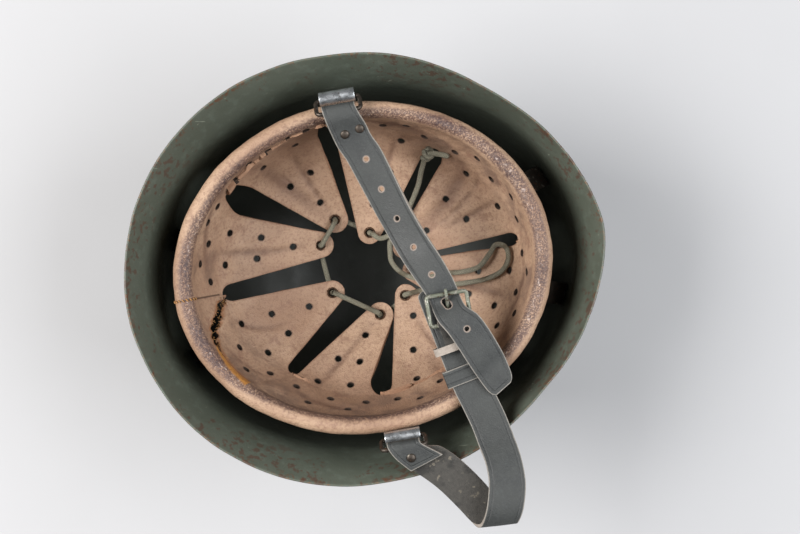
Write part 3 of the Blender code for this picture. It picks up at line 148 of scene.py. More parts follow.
# %% Holes and unevenness
def punch(points, faces, centre, radius, half_length=0.0, along=(0.0, 0.0, 0.0)):
    """Cut a round or long hole: a point's distance is measured to a short line through the centre."""
    along = np.asarray(along)

    def away(places):
        offset = places - centre
        run = np.clip(offset @ along, -half_length, half_length)
        return offset - run[:, None] * along

    inside = np.linalg.norm(away(points[faces].mean(axis=1)), axis=1) < radius
    kept = faces[~inside]
    edge = np.intersect1d(kept, faces[inside])
    offset = away(points[edge])
    reach = np.linalg.norm(offset, axis=1, keepdims=True)
    points[edge] += offset / reach * (radius - reach)
    return kept


def grid_normals(grid):
    """Direction square to a grid surface, from the cross product of its two run directions."""
    down = np.gradient(grid, axis=0)
    across = np.gradient(grid, axis=1)
    return unit(np.cross(across, down))


RIPPLE_WAVES = 7


def ripple(points, waves_per_metre, seed):
    """Soft unevenness about zero: a sum of sine waves in seeded directions."""
    random = np.random.default_rng(seed)
    total = np.zeros(points.shape[:-1])
    for _ in range(RIPPLE_WAVES):
        direction = random.normal(size=3)
        direction *= 2 * np.pi * waves_per_metre * random.uniform(0.6, 1.5) / np.linalg.norm(direction)
        total += np.sin(points @ direction + random.uniform(0, 2 * np.pi))
    return total / RIPPLE_WAVES**0.5


# %% [markdown]
# ## Paths
# Straps, wires and the lace all follow a line through a few chosen points. A Catmull-Rom curve
# passes through every one of them, and is then cut into even steps.


# %% Path helpers
def spread(rows, steps):
    """Smooth curve through rows of numbers, each stretch split into steps."""
    rows = np.array(rows, dtype=float)
    padded = np.vstack((2 * rows[0] - rows[1], rows, 2 * rows[-1] - rows[-2]))
    t = (np.arange(steps) / steps)[None, :, None]
    a, b, c, d = (padded[i:len(padded) - 3 + i, None, :] for i in range(4))
    curve = 0.5 * (2 * b + (c - a) * t + (2 * a - 5 * b + 4 * c - d) * t**2 + (3 * b - a - 3 * c + d) * t**3)
    return np.vstack((curve.reshape(-1, rows.shape[1]), rows[-1]))


def walked(points):
    """Distance along a line of points, from zero at the first."""
    steps = np.linalg.norm(np.diff(points[:, :3], axis=0), axis=1)
    return np.concatenate(([0.0], np.cumsum(steps)))


def even(rows, step):
    """The same line in even steps; its first three columns are the place."""
    distance = walked(rows)
    count = max(int(round(distance[-1] / step)), 2)
    at = np.linspace(0, distance[-1], count + 1)
    return np.stack([np.interp(at, distance, column) for column in rows.T], axis=1)


def side_directions(path, closed):
    """A direction square to the path at each point, turned from point to point as little as possible."""
    if closed:
        tangents = unit(np.roll(path, -1, axis=0) - np.roll(path, 1, axis=0))
    else:
        tangents = unit(np.gradient(path, axis=0))
    start = np.cross(tangents[0], (0.3, 0.2, 0.9))
    sides = [unit(start)]
    for tangent in tangents[1:]:
        sides.append(unit(sides[-1] - tangent * (sides[-1] @ tangent)))
    return tangents, np.array(sides)


# %% Wires
CAP_TURNS = np.radians((4, 30, 60))


def tube(name, path, radius, finish, sides=16, closed=False, relief=None):
    """A round wire: a circle carried along the path, its ends closed by rounded caps.

    relief(turn, distance) gives the share by which the surface stands proud of the circle.
    """
    tangents, side = side_directions(path, closed)
    distance = walked(path)
    widths = np.full(len(path), radius)
    if not closed:
        back = radius * np.cos(CAP_TURNS)
        more = (len(CAP_TURNS), len(CAP_TURNS))
        first = path[0] - tangents[0] * back[:, None]
        last = path[-1] + tangents[-1] * back[::-1, None]
        path = np.vstack((first, path, last))
        tangents = np.pad(tangents, (more, (0, 0)), "edge")
        side = np.pad(side, (more, (0, 0)), "edge")
        widths = np.concatenate((radius * np.sin(CAP_TURNS), widths, radius * np.sin(CAP_TURNS[::-1])))
        distance = np.concatenate((distance[0] - back, distance, distance[-1] + back[::-1]))
    other = np.cross(tangents, side)
    turn = (np.arange(sides) / sides * 2 * np.pi)[None, :]
    stand = 1.0 if relief is None else 1 + relief(turn, distance[:, None])
    reach = (widths[:, None] * stand)[..., None]
    outward = np.cos(turn)[..., None] * side[:, None] + np.sin(turn)[..., None] * other[:, None]
    points = path[:, None] + reach * outward
    faces = grid_faces(len(path), sides, wrap_rows=closed, wrap_columns=True)
    uv = np.stack(np.broadcast_arrays(turn / (2 * np.pi), distance[:, None] / (2 * np.pi * radius)), axis=-1)
    points, uv = points.reshape(-1, 3), uv.reshape(-1, 2)
    count = len(points)
    lids = () if closed else (np.arange(sides), np.arange(count - 1, count - sides - 1, -1))
    return make_piece(name, points, faces, [finish], uv=uv, lids=lids)


# %% [markdown]
# ## Finishes
# Each material is built from a few kinds of pattern: clouds (noise), cells and numbers that the mesh
# carries, such as the distance to the nearest hole. Patterns read Object coordinates in metres, so
# a scale of 900 means about 900 grains in a metre.


# %% Finish helpers
def srgb(red, green, blue):
    """A colour judged in the photo, 0 to 255, as the linear light that Blender works in."""
    share = np.array((red, green, blue)) / 255
    linear = np.where(share <= 0.04045, share / 12.92, ((share + 0.055) / 1.055) ** 2.4)
    return (*linear.tolist(), 1.0)


# %% Finish class
class Finish:
    """A material, with short names for the nodes that feed its shader."""

    def __init__(self, name, roughness, metallic=0.0):
        self.material = bpy.data.materials.new(name)
        self.material.use_nodes = True
        self.nodes = self.material.node_tree.nodes
        self.links = self.material.node_tree.links
        self.shader = self.nodes["Principled BSDF"]
        self.shader.inputs["Roughness"].default_value = roughness
        self.shader.inputs["Metallic"].default_value = metallic
        self.place = self.nodes.new("ShaderNodeTexCoord").outputs["Object"]

    def feed(self, socket, value):
        """Link a pattern to a socket, or set a plain number or colour on it."""
        if isinstance(value, bpy.types.NodeSocket):
            self.links.new(value, socket)
        else:
            socket.default_value = value

    def stretched(self, scale):
        """The place with each axis multiplied, for long grains."""
        made = self.nodes.new("ShaderNodeMapping")
        made.inputs["Scale"].default_value = scale
        self.links.new(self.place, made.inputs["Vector"])
        return made.outputs["Vector"]

    def clouds(self, scale, detail=3.0, roughness=0.55, at=None):
        made = self.nodes.new("ShaderNodeTexNoise")
        made.inputs["Scale"].default_value = scale
        made.inputs["Detail"].default_value = detail
        made.inputs["Roughness"].default_value = roughness
        self.links.new(at or self.place, made.inputs["Vector"])
        return made.outputs["Fac"]

    def cells(self, scale):
        made = self.nodes.new("ShaderNodeTexVoronoi")
        made.inputs["Scale"].default_value = scale
        self.links.new(self.place, made.inputs["Vector"])
        return made.outputs["Distance"]

    def carried(self, key):
        """A number that the mesh carries at each point."""
        made = self.nodes.new("ShaderNodeAttribute")
        made.attribute_name = key
        return made.outputs["Fac"]

    def surface(self):
        """The piece's own UV: u across or round it, v along it."""
        made = self.nodes.new("ShaderNodeUVMap")
        made.uv_map = "surface"
        return made.outputs["UV"]

    def parts(self, vector):
        made = self.nodes.new("ShaderNodeSeparateXYZ")
        self.links.new(vector, made.inputs["Vector"])
        return made.outputs

    def ease(self, value, low, high, first=0.0, last=1.0):
        """Go from first to last as the value goes from low to high, gently at both ends."""
        made = self.nodes.new("ShaderNodeMapRange")
        made.interpolation_type = "SMOOTHSTEP"
        self.links.new(value, made.inputs["Value"])
        for key, number in (("From Min", low), ("From Max", high), ("To Min", first), ("To Max", last)):
            made.inputs[key].default_value = number
        return made.outputs["Result"]

    def math(self, operation, first, second=0.0):
        made = self.nodes.new("ShaderNodeMath")
        made.operation = operation
        self.feed(made.inputs[0], first)
        self.feed(made.inputs[1], second)
        return made.outputs["Value"]

    def times(self, first, second):
        return self.math("MULTIPLY", first, second)

    def plus(self, first, second):
        return self.math("ADD", first, second)

    def mix(self, share, first, second):
        made = self.nodes.new("ShaderNodeMix")
        made.data_type = "RGBA"
        self.feed(made.inputs[0], share)
        self.feed(made.inputs[6], first)
        self.feed(made.inputs[7], second)
        return made.outputs[2]

    def layers(self, colour, *coats):
        """Lay coats of (share, colour) over a colour in order."""
        for share, coat in coats:
            colour = self.mix(share, colour, coat)
        return colour

    def bump(self, height, distance, below=None):
        """Relief: distance is how far in metres a height of 1 stands out."""
        made = self.nodes.new("ShaderNodeBump")
        made.inputs["Distance"].default_value = distance
        self.links.new(height, made.inputs["Height"])
        if below is not None:
            self.links.new(below, made.inputs["Normal"])
        return made.outputs["Normal"]

    def done(self, colour, roughness=None, normal=None):
        self.feed(self.shader.inputs["Base Color"], colour)
        if roughness is not None:
            self.links.new(roughness, self.shader.inputs["Roughness"])
        if normal is not None:
            self.links.new(normal, self.shader.inputs["Normal"])
        return self.material


# %% Nodes and parents
def wear(piece, slot, *nodes):
    """Hide the imported nodes that a piece stands for, and let it ride along; slot is not used."""
    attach(piece, "root")
    if nodes:
        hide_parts(*nodes)


# %% [markdown]
# ## Floor and light
# The floor is plain and pale. One large soft light stands at the left and a slightly weaker one at
# the right, both above the helmet, so the shadows inside the bowl stay soft, as in the photo.

# %% Floor and lights
FLOOR_SIZE = 8.0

floor_mesh = bpy.data.meshes.new("floor")
half = FLOOR_SIZE / 2
floor_corners = [(-half, -half, 0), (half, -half, 0), (half, half, 0), (-half, half, 0)]
floor_mesh.from_pydata(floor_corners, [], [(0, 1, 2, 3)])
floor = bpy.data.objects.new("floor", floor_mesh)
bpy.context.scene.collection.objects.link(floor)
floor_finish = Finish("pale_floor", 0.8)
floor_tone = floor_finish.mix(floor_finish.clouds(6), srgb(176, 176, 178), srgb(182, 182, 184))
floor_mesh.materials.append(floor_finish.done(floor_tone))

LIGHTS_AIM = np.array((0.0, 0.0, 0.10))
LIGHTS = (
    # name, place, size, power, colour
    ("key_light", (-0.85, 0.22, 1.10), 0.8, 29.0, (1.0, 0.985, 0.965)),
    ("fill_light", (0.90, -0.20, 1.10), 1.0, 23.0, (0.97, 0.985, 1.0)),
)
for light_name, light_place, light_size, light_power, light_colour in LIGHTS:
    light_data = bpy.data.lights.new(light_name, "AREA")
    light_data.size = light_size
    light_data.energy = light_power
    light_data.color = light_colour
    light = bpy.data.objects.new(light_name, light_data)
    light.location = light_place
    aim = LIGHTS_AIM - np.array(light_place)
    yaw = math.atan2(aim[0], -aim[1])
    light.rotation_euler = (math.acos(-aim[2] / np.linalg.norm(aim)), 0, math.pi + yaw)
    bpy.context.scene.collection.objects.link(light)

bpy.context.scene.view_settings.view_transform = "Standard"
world = bpy.data.worlds.new("studio")
bpy.context.scene.world = world
world.use_nodes = True
background = world.node_tree.nodes["Background"]
background.inputs["Color"].default_value = (0.93, 0.94, 0.95, 1.0)
background.inputs["Strength"].default_value = 0.10

# %% [markdown]
# ## The liner's plan
# The leather is one sheet: it rolls over a cord at its outer edge, goes down as a headband and ends
# in eight tongues. Slots between the tongues end in round roots. Every place on it is given by its
# tongue, a share across it and a share along it: -1 at the rolled edge, 0 at the slot's root and 1
# at the tip. The plan is in shares of an ellipse, so head sizes could be changed in one place.

# %% Liner values
RIM_HEIGHT = 0.165
LINER_HALF_LENGTH = 0.113
LINER_HALF_WIDTH = 0.0985
LINER_SHIFT = -0.0025
LINER_DEPTH = 0.090
LEATHER_WALL = 0.0018
ROLL_RADIUS = 0.0055
ROLL_DEPTH = 0.0135
ROLL_SHARE = 2 * ROLL_RADIUS / (0.5 * (LINER_HALF_LENGTH + LINER_HALF_WIDTH))
ROLL_INNER_SHARE = 1 - ROLL_SHARE
TAIL_LENGTH = 0.020
TAIL_INSET = 0.004
SLOT_ROOT_RADIUS = 0.010
TIP_RADIUS = 0.0085
TIP_END_ANGLE = math.radians(7)
ROOT_END = 0.2
TIP_START = 0.8
# Distances that the leather carries to its finish never matter beyond this
FAR_AWAY = 0.05

# Share of the outline against share of the depth, from the middle of the crown outwards
BOWL_SECTION = (
    (0.0, 0.985), (0.15, 0.970), (0.27, 0.944), (0.38, 0.900), (0.50, 0.833), (0.64, 0.733),
    (0.77, 0.611), (0.84, 0.467), (0.870, 0.340), (0.887, 0.230), (0.895, 0.150),
)
# Degrees from the front, share of the outline and radius share of each slot's root
SLOTS = (
    (1.0, 0.815, 0.42), (48.5, 0.765, 0.65), (96.2, 0.845, 0.50), (141.0, 0.795, 0.95),
    (180.5, 0.755, 0.55), (224.8, 0.735, 0.44), (268.0, 0.745, 0.68), (321.0, 0.740, 0.45),
)
# Name, degrees and share of the tip, radius share, and how far tip, left and right edges stand up
TONGUES = (
    ("d", 18.6, 0.245, 0.80, 0.0, 0.015, -0.010), ("c", 75.4, 0.235, 0.90, 0.010, 0.0, 0.010),
    ("b", 113.1, 0.375, 1.0, -0.010, 0.0, 0.035), ("a", 143.5, 0.315, 1.0, 0.0, 0.010, 0.0),
    ("h", 206.4, 0.255, 0.95, 0.015, 0.0, 0.010), ("g", 276.3, 0.330, 1.0, -0.010, 0.030, 0.0),
    ("f", 315.0, 0.300, 0.85, 0.010, 0.0, 0.0), ("e", 346.5, 0.270, 0.80, -0.020, 0.020, 0.025),
)
COUNT = len(TONGUES)
TONGUE_NAMES = [row[0] for row in TONGUES]


# %% Liner surface
def smooth(table, at, level_end):
    """Read a table's second column between its rows: a cubic whose slopes come from the rows beside,
    level at its first row and, if level_end is true, at its last."""
    xs, ys = np.array(table, dtype=float).T[:2]
    slopes = np.gradient(ys, xs)
    slopes[0] = 0.0
    if level_end:
        slopes[-1] = 0.0
    at = np.clip(at, xs[0], xs[-1])
    i = np.clip(np.searchsorted(xs, at) - 1, 0, len(xs) - 2)
    step = xs[i + 1] - xs[i]
    t = (at - xs[i]) / step
    rise = ys[i] * (1 + 2 * t) * (1 - t) ** 2 + ys[i + 1] * t * t * (3 - 2 * t)
    return rise + step * t * (1 - t) * (slopes[i] * (1 - t) - slopes[i + 1] * t)


def ellipse_reach(angle, half_length, half_width):
    """Distance from the centre to an ellipse in a direction."""
    return 1.0 / np.hypot(np.cos(angle) / half_length, np.sin(angle) / half_width)


def liner_reach(angle):
    return ellipse_reach(angle, LINER_HALF_LENGTH, LINER_HALF_WIDTH)


def liner_place(angle, share, depth):
    """A point from its direction, its share of the liner's outline and its depth below the rim."""
    reach = liner_reach(angle) * share
    return np.stack((LINER_SHIFT + reach * np.cos(angle), reach * np.sin(angle), RIM_HEIGHT - depth), axis=-1)


def bowl_depth(share):
    return LINER_DEPTH * smooth(BOWL_SECTION, share, False)


def heading(vector):
    return np.arctan2(vector[..., 1], vector[..., 0])


def ray(angle):
    return np.stack((np.cos(angle), np.sin(angle)), axis=-1)


def turn_between(start, end):
    """Signed turn from one heading to another, the short way."""
    return (end - start + np.pi) % (2 * np.pi) - np.pi


def polar(points):
    """Direction, and share of the liner's outline, of plan points about the liner's centre."""
    angle = heading(points)
    return angle, np.hypot(points[..., 0], points[..., 1]) / liner_reach(angle)


# %% Slots and tongues
SLOT_ROOTS = [ray(math.radians(row[0])) * row[1] * liner_reach(math.radians(row[0])) for row in SLOTS]
TIPS = [ray(math.radians(row[1])) * row[2] * liner_reach(math.radians(row[1])) for row in TONGUES]


def tongue_edge(tongue, side, along):
    """Plan points on a tongue's edge: an arc round the slot's root, a straight run, an arc round the tip.

    side is 0 for the slot before the tongue and 1 for the one after it.
    """
    slot = (tongue + side) % COUNT
    root, tip = SLOT_ROOTS[slot], TIPS[tongue]
    root_radius = SLOTS[slot][2] * SLOT_ROOT_RADIUS
    tip_radius = TONGUES[tongue][3] * TIP_RADIUS
    across = tip - root
    lean = math.acos((root_radius + tip_radius) / math.hypot(*across))
    normal = heading(across) + (lean if side else -lean)
    start = heading(root - 0.5 * (TIPS[slot - 1] + TIPS[slot]))
    middle = 0.5 * (SLOT_ROOTS[tongue] + SLOT_ROOTS[(tongue + 1) % COUNT])
    end = heading(tip - middle) + (-TIP_END_ANGLE if side else TIP_END_ANGLE)
    at_root = root + root_radius * ray(start + turn_between(start, normal) * np.clip(along / ROOT_END, 0, 1))
    tip_turn = turn_between(normal + np.pi, end) * np.clip((along - TIP_START) / (1 - TIP_START), 0, 1)
    at_tip = tip + tip_radius * ray(normal + np.pi + tip_turn)
    share = np.clip((along - ROOT_END) / (TIP_START - ROOT_END), 0, 1)[..., None]
    straight = (root + root_radius * ray(normal)) * (1 - share) + (tip - tip_radius * ray(normal)) * share
    ends = np.where((along < ROOT_END)[..., None], at_root, at_tip)
    return np.where(((along >= ROOT_END) & (along <= TIP_START))[..., None], straight, ends)


# %% Tongues and rolled edge
def tongue_rise(tongue, across, along):
    """How far a tongue's tip, and its edges half way along it, stand above the common bowl."""
    rise, left, right = TONGUES[tongue][4:]
    edge = right * np.maximum(1 - 2 * across, 0) ** 2 + left * np.maximum(2 * across - 1, 0) ** 2
    return LINER_DEPTH * (rise * along**2 + edge * np.sin(np.pi * np.minimum(along / TIP_START, 1)) ** 2)


def tongue_points(tongue, across, along):
    """Points of the headband and a tongue, from the slots' edges on both sides of it."""
    across, along = np.broadcast_arrays(across, along)
    inner = np.maximum(along, 0.0)
    first_angle, first_share = polar(tongue_edge(tongue, 0, inner))
    last_angle, last_share = polar(tongue_edge(tongue, 1, inner))
    angle = first_angle + turn_between(first_angle, last_angle) * across
    share = first_share + (last_share - first_share) * across
    depth = bowl_depth(share)
    up = np.maximum(-along, 0.0)
    band_share = share + (ROLL_INNER_SHARE - share) * (1 - (1 - up) ** 1.7)
    band_depth = depth + (ROLL_DEPTH - depth) * up
    on_tongue = along >= 0
    depth = np.where(on_tongue, depth - tongue_rise(tongue, across, inner), band_depth)
    return liner_place(angle, np.where(on_tongue, share, band_share), depth)


def roll_points(tongue, across, turn):
    """Points of the rolled edge: turn 0 is its outer side, pi its inner side, below 0 the tail."""
    zero = np.zeros(1)
    first_angle = polar(tongue_edge(tongue, 0, zero))[0]
    last_angle = polar(tongue_edge(tongue, 1, zero))[0]
    across, turn = np.broadcast_arrays(across, turn)
    angle = first_angle + turn_between(first_angle, last_angle) * across
    down = np.maximum(-turn, 0.0)
    round_turn = np.maximum(turn, 0.0)
    share = 1 - ROLL_SHARE / 2 * (1 - np.cos(round_turn)) - TAIL_INSET / liner_reach(angle) * down
    depth = ROLL_DEPTH - ROLL_RADIUS * np.sin(round_turn) + TAIL_LENGTH * down
    return liner_place(angle, share, depth)


# %% Eyelet places
def tip_along(tongue):
    """Place along a tongue whose middle lies at the eyelet."""
    places = np.linspace(0.6, 1.0, 201)
    plan = tongue_points(tongue, 0.5, places)[:, :2] - (LINER_SHIFT, 0)
    return places[np.argmin(np.linalg.norm(plan - TIPS[tongue], axis=1))]


def tongue_normal(tongue, across, along, step=0.03):
    """Direction away from the shell, square to the leather at one place."""
    around = tongue_points(tongue, across + step, along) - tongue_points(tongue, across - step, along)
    inward = tongue_points(tongue, across, along + step) - tongue_points(tongue, across, along - step)
    return unit(np.cross(around, inward))


EYELET_ALONG = [tip_along(tongue) for tongue in range(COUNT)]
EYELET_PLACES = [tongue_points(tongue, 0.5, EYELET_ALONG[tongue]) for tongue in range(COUNT)]
EYELET_AXES = [tongue_normal(tongue, 0.5, min(EYELET_ALONG[tongue], 0.93)) for tongue in range(COUNT)]
print("eyelets at", np.round(np.array(EYELET_PLACES) * 1000, 1).tolist())

# %% [markdown]
# ## The lace
# A woven cord about 3 mm thick runs down and up through the eyelets in turn and ties in a bow over
# tongue d. Its points repeat the route of the solid cord; a curve through them makes it lie softly,
# and a braid is pressed into its surface by a wave that winds both ways round it.

# %% Lace finish
braid = Finish("lace_cord", 0.9)
around, onward, _ = braid.parts(braid.surface())
STRANDS = 5
TURNS_PER_ROUND = 0.85
winding = braid.times(around, STRANDS)
travel = braid.times(onward, STRANDS * TURNS_PER_ROUND)
weave = []
for operation in ("ADD", "SUBTRACT"):
    slant = braid.times(braid.math(operation, winding, travel), 2 * math.pi)
    weave.append(braid.math("ABSOLUTE", braid.math("SINE", slant, 0.0)))
over = braid.times(weave[0], weave[1])
fuzz = braid.clouds(2600, 2)
lace_tone = braid.layers(
    srgb(98, 96, 82),
    # painted highlight: the braid's raised crossings are lightened, as lit ridge tops
    (braid.ease(over, 0.15, 0.75), srgb(148, 144, 126)),
    (braid.ease(fuzz, 0.55, 0.75), srgb(172, 168, 150)),
    (braid.ease(braid.clouds(70), 0.52, 0.70), srgb(88, 80, 64)),
)
lace_relief = braid.plus(over, braid.times(fuzz, 0.5))
lace_finish = braid.done(lace_tone, normal=braid.bump(lace_relief, 0.0004))

# %% Lace
LACE_DIAMETER = 0.0032
LACE_LIFT = 0.0030
# Degrees from the front, share of the outline and height above the bowl
LACE_START = (
    (43.5, 0.815, 0.0046), (47.0, 0.804, 0.0044), (51.1, 0.780, 0.0040), (50.3, 0.697, 0.0036),
    (47.5, 0.597, 0.0038), (45.0, 0.482, 0.0040), (41.7, 0.355, 0.0044), (40.0, 0.235, 0.0050),
    (22.0, 0.165, 0.0055), (1.6, 0.151, 0.0058),
    (-17.7, 0.205, 0.0062), (-22.0, 0.300, 0.0062), (-18.0, 0.380, 0.0060), (-14.0, 0.460, 0.0055),
    (-12.5, 0.550, 0.0048), (-9.5, 0.640, 0.0046), (-3.5, 0.700, 0.0050), (0.0, 0.740, 0.0055),
    (-1.8, 0.785, 0.0058), (-6.5, 0.792, 0.0058), (-11.5, 0.760, 0.0055), (-15.5, 0.680, 0.0050),
    (-18.5, 0.585, 0.0050), (-22.5, 0.480, 0.0052), (-29.0, 0.385, 0.0056),
)
LACE_END = ((66.0, 0.215, 0.0080), (55.0, 0.205, 0.0085), (46.0, 0.235, 0.0090), (42.0, 0.290, 0.0090))
# Each tongue in turn, and whether the lace goes down through its eyelet
LACE_ORDER = (("f", True), ("g", False), ("h", True), ("a", False), ("b", True), ("c", False))


# %% Lace path
def lace_spot(row):
    """A point over the bowl from its direction, its share of the outline and its height above it."""
    degrees, share, lift = row
    return liner_place(math.radians(degrees), share, bowl_depth(max(share, 0.15)) - lift - LACE_LIFT * share)


def through_eyelet(place, axis, before, after, down):
    """Points of the lace round one rim of an eyelet, through its bore and round the other rim."""
    top_side, low_side = (before, after) if down else (after, before)
    top, low = [], []
    for lift, run in ((1.0, 1.0), (0.92, 0.35), (0.55, 0.0)):
        lift *= LACE_DIAMETER
        for points, height, aim in ((top, lift, top_side), (low, -lift - LEATHER_WALL, low_side)):
            toward = aim - place
            flat = unit(toward - axis * (toward @ axis))
            points.append(place + axis * height + flat * run * LACE_DIAMETER * 0.8)
    return top + low[::-1] if down else low + top[::-1]


lace_route = [lace_spot(row) for row in LACE_START]
lace_ends = [lace_spot(row) for row in LACE_END]
laced = [TONGUE_NAMES.index(name) for name, _ in LACE_ORDER]
stops = [lace_route[-1], *[EYELET_PLACES[tongue] for tongue in laced], lace_ends[0]]
for i, (tongue, (_, goes_down)) in enumerate(zip(laced, LACE_ORDER)):
    place, axis = EYELET_PLACES[tongue], EYELET_AXES[tongue]
    lace_route += through_eyelet(place, axis, stops[i], stops[i + 2], goes_down)
lace_path = even(spread(lace_route + lace_ends, 12), 0.0006)


# %% Lace piece
BRAID_DEPTH = 0.10


def braid_relief(turn, distance):
    """Crossing ridges that wind left and right round the cord."""
    travel = distance / (np.pi * LACE_DIAMETER) * TURNS_PER_ROUND * STRANDS
    left = np.abs(np.sin(STRANDS * turn + 2 * np.pi * travel))
    right = np.abs(np.sin(STRANDS * turn - 2 * np.pi * travel))
    return BRAID_DEPTH * (left * right - 0.5)


lace = tube("lace_cord", lace_path, LACE_DIAMETER / 2, lace_finish, sides=20, relief=braid_relief)
wear(lace, "lace_cord", "lace")

# %% Knot
# The knot at the free end is nearly two turns of the same cord, wound round it
KNOT_RADIUS = 0.0027
KNOT_LENGTH = 0.0056
knot_row = int(np.argmin(np.linalg.norm(lace_path - lace_spot(LACE_START[2]), axis=1)))
knot_forward = unit(lace_path[knot_row + 4] - lace_path[knot_row - 4])
knot_side = unit(np.cross(knot_forward, (0, 0, 1.0)))
knot_other = np.cross(knot_forward, knot_side)
knot_turn = np.linspace(-0.4, 3.5 * np.pi, 90)[:, None]
knot_path = (
    lace_path[knot_row] + knot_forward * (knot_turn / knot_turn.max() - 0.5) * KNOT_LENGTH
    + KNOT_RADIUS * (np.cos(knot_turn) * knot_side + np.sin(knot_turn) * knot_other)
)
knot_path = even(knot_path, 0.0005)
knot = tube("lace_knot", knot_path, LACE_DIAMETER * 0.46, lace_finish, sides=18, relief=braid_relief)
wear(knot, "lace_cord")

# %% [markdown]
# ## The leather
# One sheet of vegetable-tanned leather makes the roll, the headband and the tongues. It is drawn as
# eight grids side by side, one to a tongue, that share their edge points above the slots and part
# below them. Holes are punched in the grid, creases are pressed into it, and a wall is added last.

# %% Leather finishes
leather = Finish("liner_leather", 0.55)
crest = leather.carried("crest")
band = leather.carried("band")
cloudy = leather.clouds(38, 4, 0.62)
fine = leather.clouds(520, 4, 0.7)
pores = leather.cells(1150)
around_roll = leather.clouds(1.0, 3, 0.6, at=leather.stretched((330, 330, 1200)))
dirt = leather.times(leather.ease(cloudy, 0.44, 0.62), band)
crackle = leather.ease(leather.clouds(1000, 3, 0.8), 0.36, 0.54)
worn = leather.times(leather.ease(crest, 0.20, 0.70), crackle)
patches = leather.times(crest, leather.ease(leather.clouds(42, 3), 0.40, 0.58))
rubbed = leather.times(patches, leather.ease(fine, 0.40, 0.58))
# painted highlight: pale streaks across the top of the rolled edge stand in for the lamps' glints on its
# crest
crest_glints = leather.times(leather.ease(crest, 0.80, 1.0), leather.ease(around_roll, 0.58, 0.68))
seam_line = leather.ease(leather.math("ABSOLUTE", leather.carried("seam")), 0.0002, 0.0008, 0.85, 0.0)
frayed_cloud = leather.plus(leather.carried("frayed"), leather.times(cloudy, 0.3))
frayed_share = leather.ease(frayed_cloud, 0.42, 0.62)

# %% Leather tone
leather_tone = leather.layers(
    leather.mix(leather.ease(leather.clouds(15, 3), 0.36, 0.62), srgb(170, 141, 117), srgb(146, 116, 94)),
    (leather.times(leather.ease(fine, 0.46, 0.66), 0.60), srgb(126, 96, 78)),
    (leather.times(leather.ease(leather.clouds(85, 4, 0.7), 0.54, 0.70), 0.55), srgb(122, 90, 74)),
    (leather.times(dirt, 0.70), srgb(106, 84, 72)),
    (leather.times(worn, 0.88), srgb(76, 54, 50)),
    (leather.times(rubbed, 0.80), srgb(54, 38, 40)),
    # painted highlight on the roll's crest
    (leather.times(crest_glints, 0.42), srgb(208, 192, 184)),
    # painted shade: the leather darkens along its creases and folds, where shade falls
    (leather.times(leather.carried("crease"), 0.68), srgb(88, 60, 48)),
    (seam_line, srgb(62, 42, 32)),
    (leather.ease(leather.carried("hole"), 0.0, 0.0010, 0.75, 0.0), srgb(78, 60, 50)),
    (leather.ease(leather.carried("edge"), 0.0, 0.0016, 0.50, 0.0), srgb(116, 84, 64)),
    (leather.ease(leather.carried("torn"), 0.0, 0.0045, 0.85, 0.0), srgb(132, 84, 46)),
    (leather.times(frayed_share, 0.92), leather.mix(fine, srgb(214, 150, 66), srgb(120, 74, 38))),
    (leather.ease(leather.clouds(9, 2), 0.66, 0.74, 0.0, 0.45), srgb(104, 96, 72)),
)
grain = leather.plus(leather.times(pores, 0.6), leather.times(fine, 0.9))
leather_skin = leather.done(
    leather_tone, roughness=leather.ease(worn, 0.0, 1.0, 0.64, 0.50),
    normal=leather.bump(leather.clouds(110, 3), 0.0007, below=leather.bump(grain, 0.00035)),
)

# %% Leather back and cut edge
flesh = Finish("leather_back", 0.9)
flesh_tone = flesh.mix(flesh.clouds(300, 4, 0.7), srgb(170, 134, 108), srgb(132, 98, 76))
leather_back = flesh.done(flesh_tone, normal=flesh.bump(flesh.clouds(900, 3), 0.0004))

raw = Finish("leather_cut_edge", 0.85)
raw_tone = raw.layers(
    raw.mix(raw.clouds(700, 3, 0.7), srgb(168, 130, 102), srgb(112, 80, 62)),
    # painted shade: the cut walls inside the holes turn near black, as the bores lie in shadow
    (raw.ease(raw.carried("hole"), 0.0004, 0.0014, 0.92, 0.0), srgb(30, 22, 18)),
)
leather_edge = raw.done(raw_tone, normal=raw.bump(raw.clouds(1600, 3), 0.0003))

# %% Liner values for holes and the tear
TONGUE_COLUMNS = 46
TAIL_ROWS = 6
ROLL_ROWS = 14
BAND_ROWS = 26
AIR_HOLE_RADIUS = 0.0022
AIR_HOLES = (
    (0.28, 0.15), (0.72, 0.15), (0.31, 0.37), (0.69, 0.37), (0.50, 0.60),
    (0.14, -0.25), (0.31, -0.56), (0.50, -0.25), (0.69, -0.56), (0.86, -0.25),
)
EYELET_BORE = 0.0022
EYELET_WALL = 0.0005
TEAR_HALF_HEIGHT = 0.0030
SEAM_DEGREES = 180.5
# Degrees, middle depth as a share of the liner's, and half height share of the tear
TEAR = (
    (182, 0.560, 1.15), (185, 0.500, 1.35), (188, 0.440, 1.50), (191.5, 0.355, 1.90), (195, 0.270, 1.75),
    (198, 0.235, 1.20), (201, 0.215, 0.70), (205, 0.200, 0.45), (210, 0.190, 0.30), (215, 0.185, 0.12),
)
# Degrees from the front and the middle of the worn band, as a share of the way over the roll
CREST_BAND = (
    (0, 0.56), (50, 0.56), (80, 0.75), (110, 0.86), (145, 0.86), (165, 0.66), (195, 0.62), (212, 0.70),
    (228, 0.95), (270, 1.0), (300, 0.85), (330, 0.62), (360, 0.56),
)
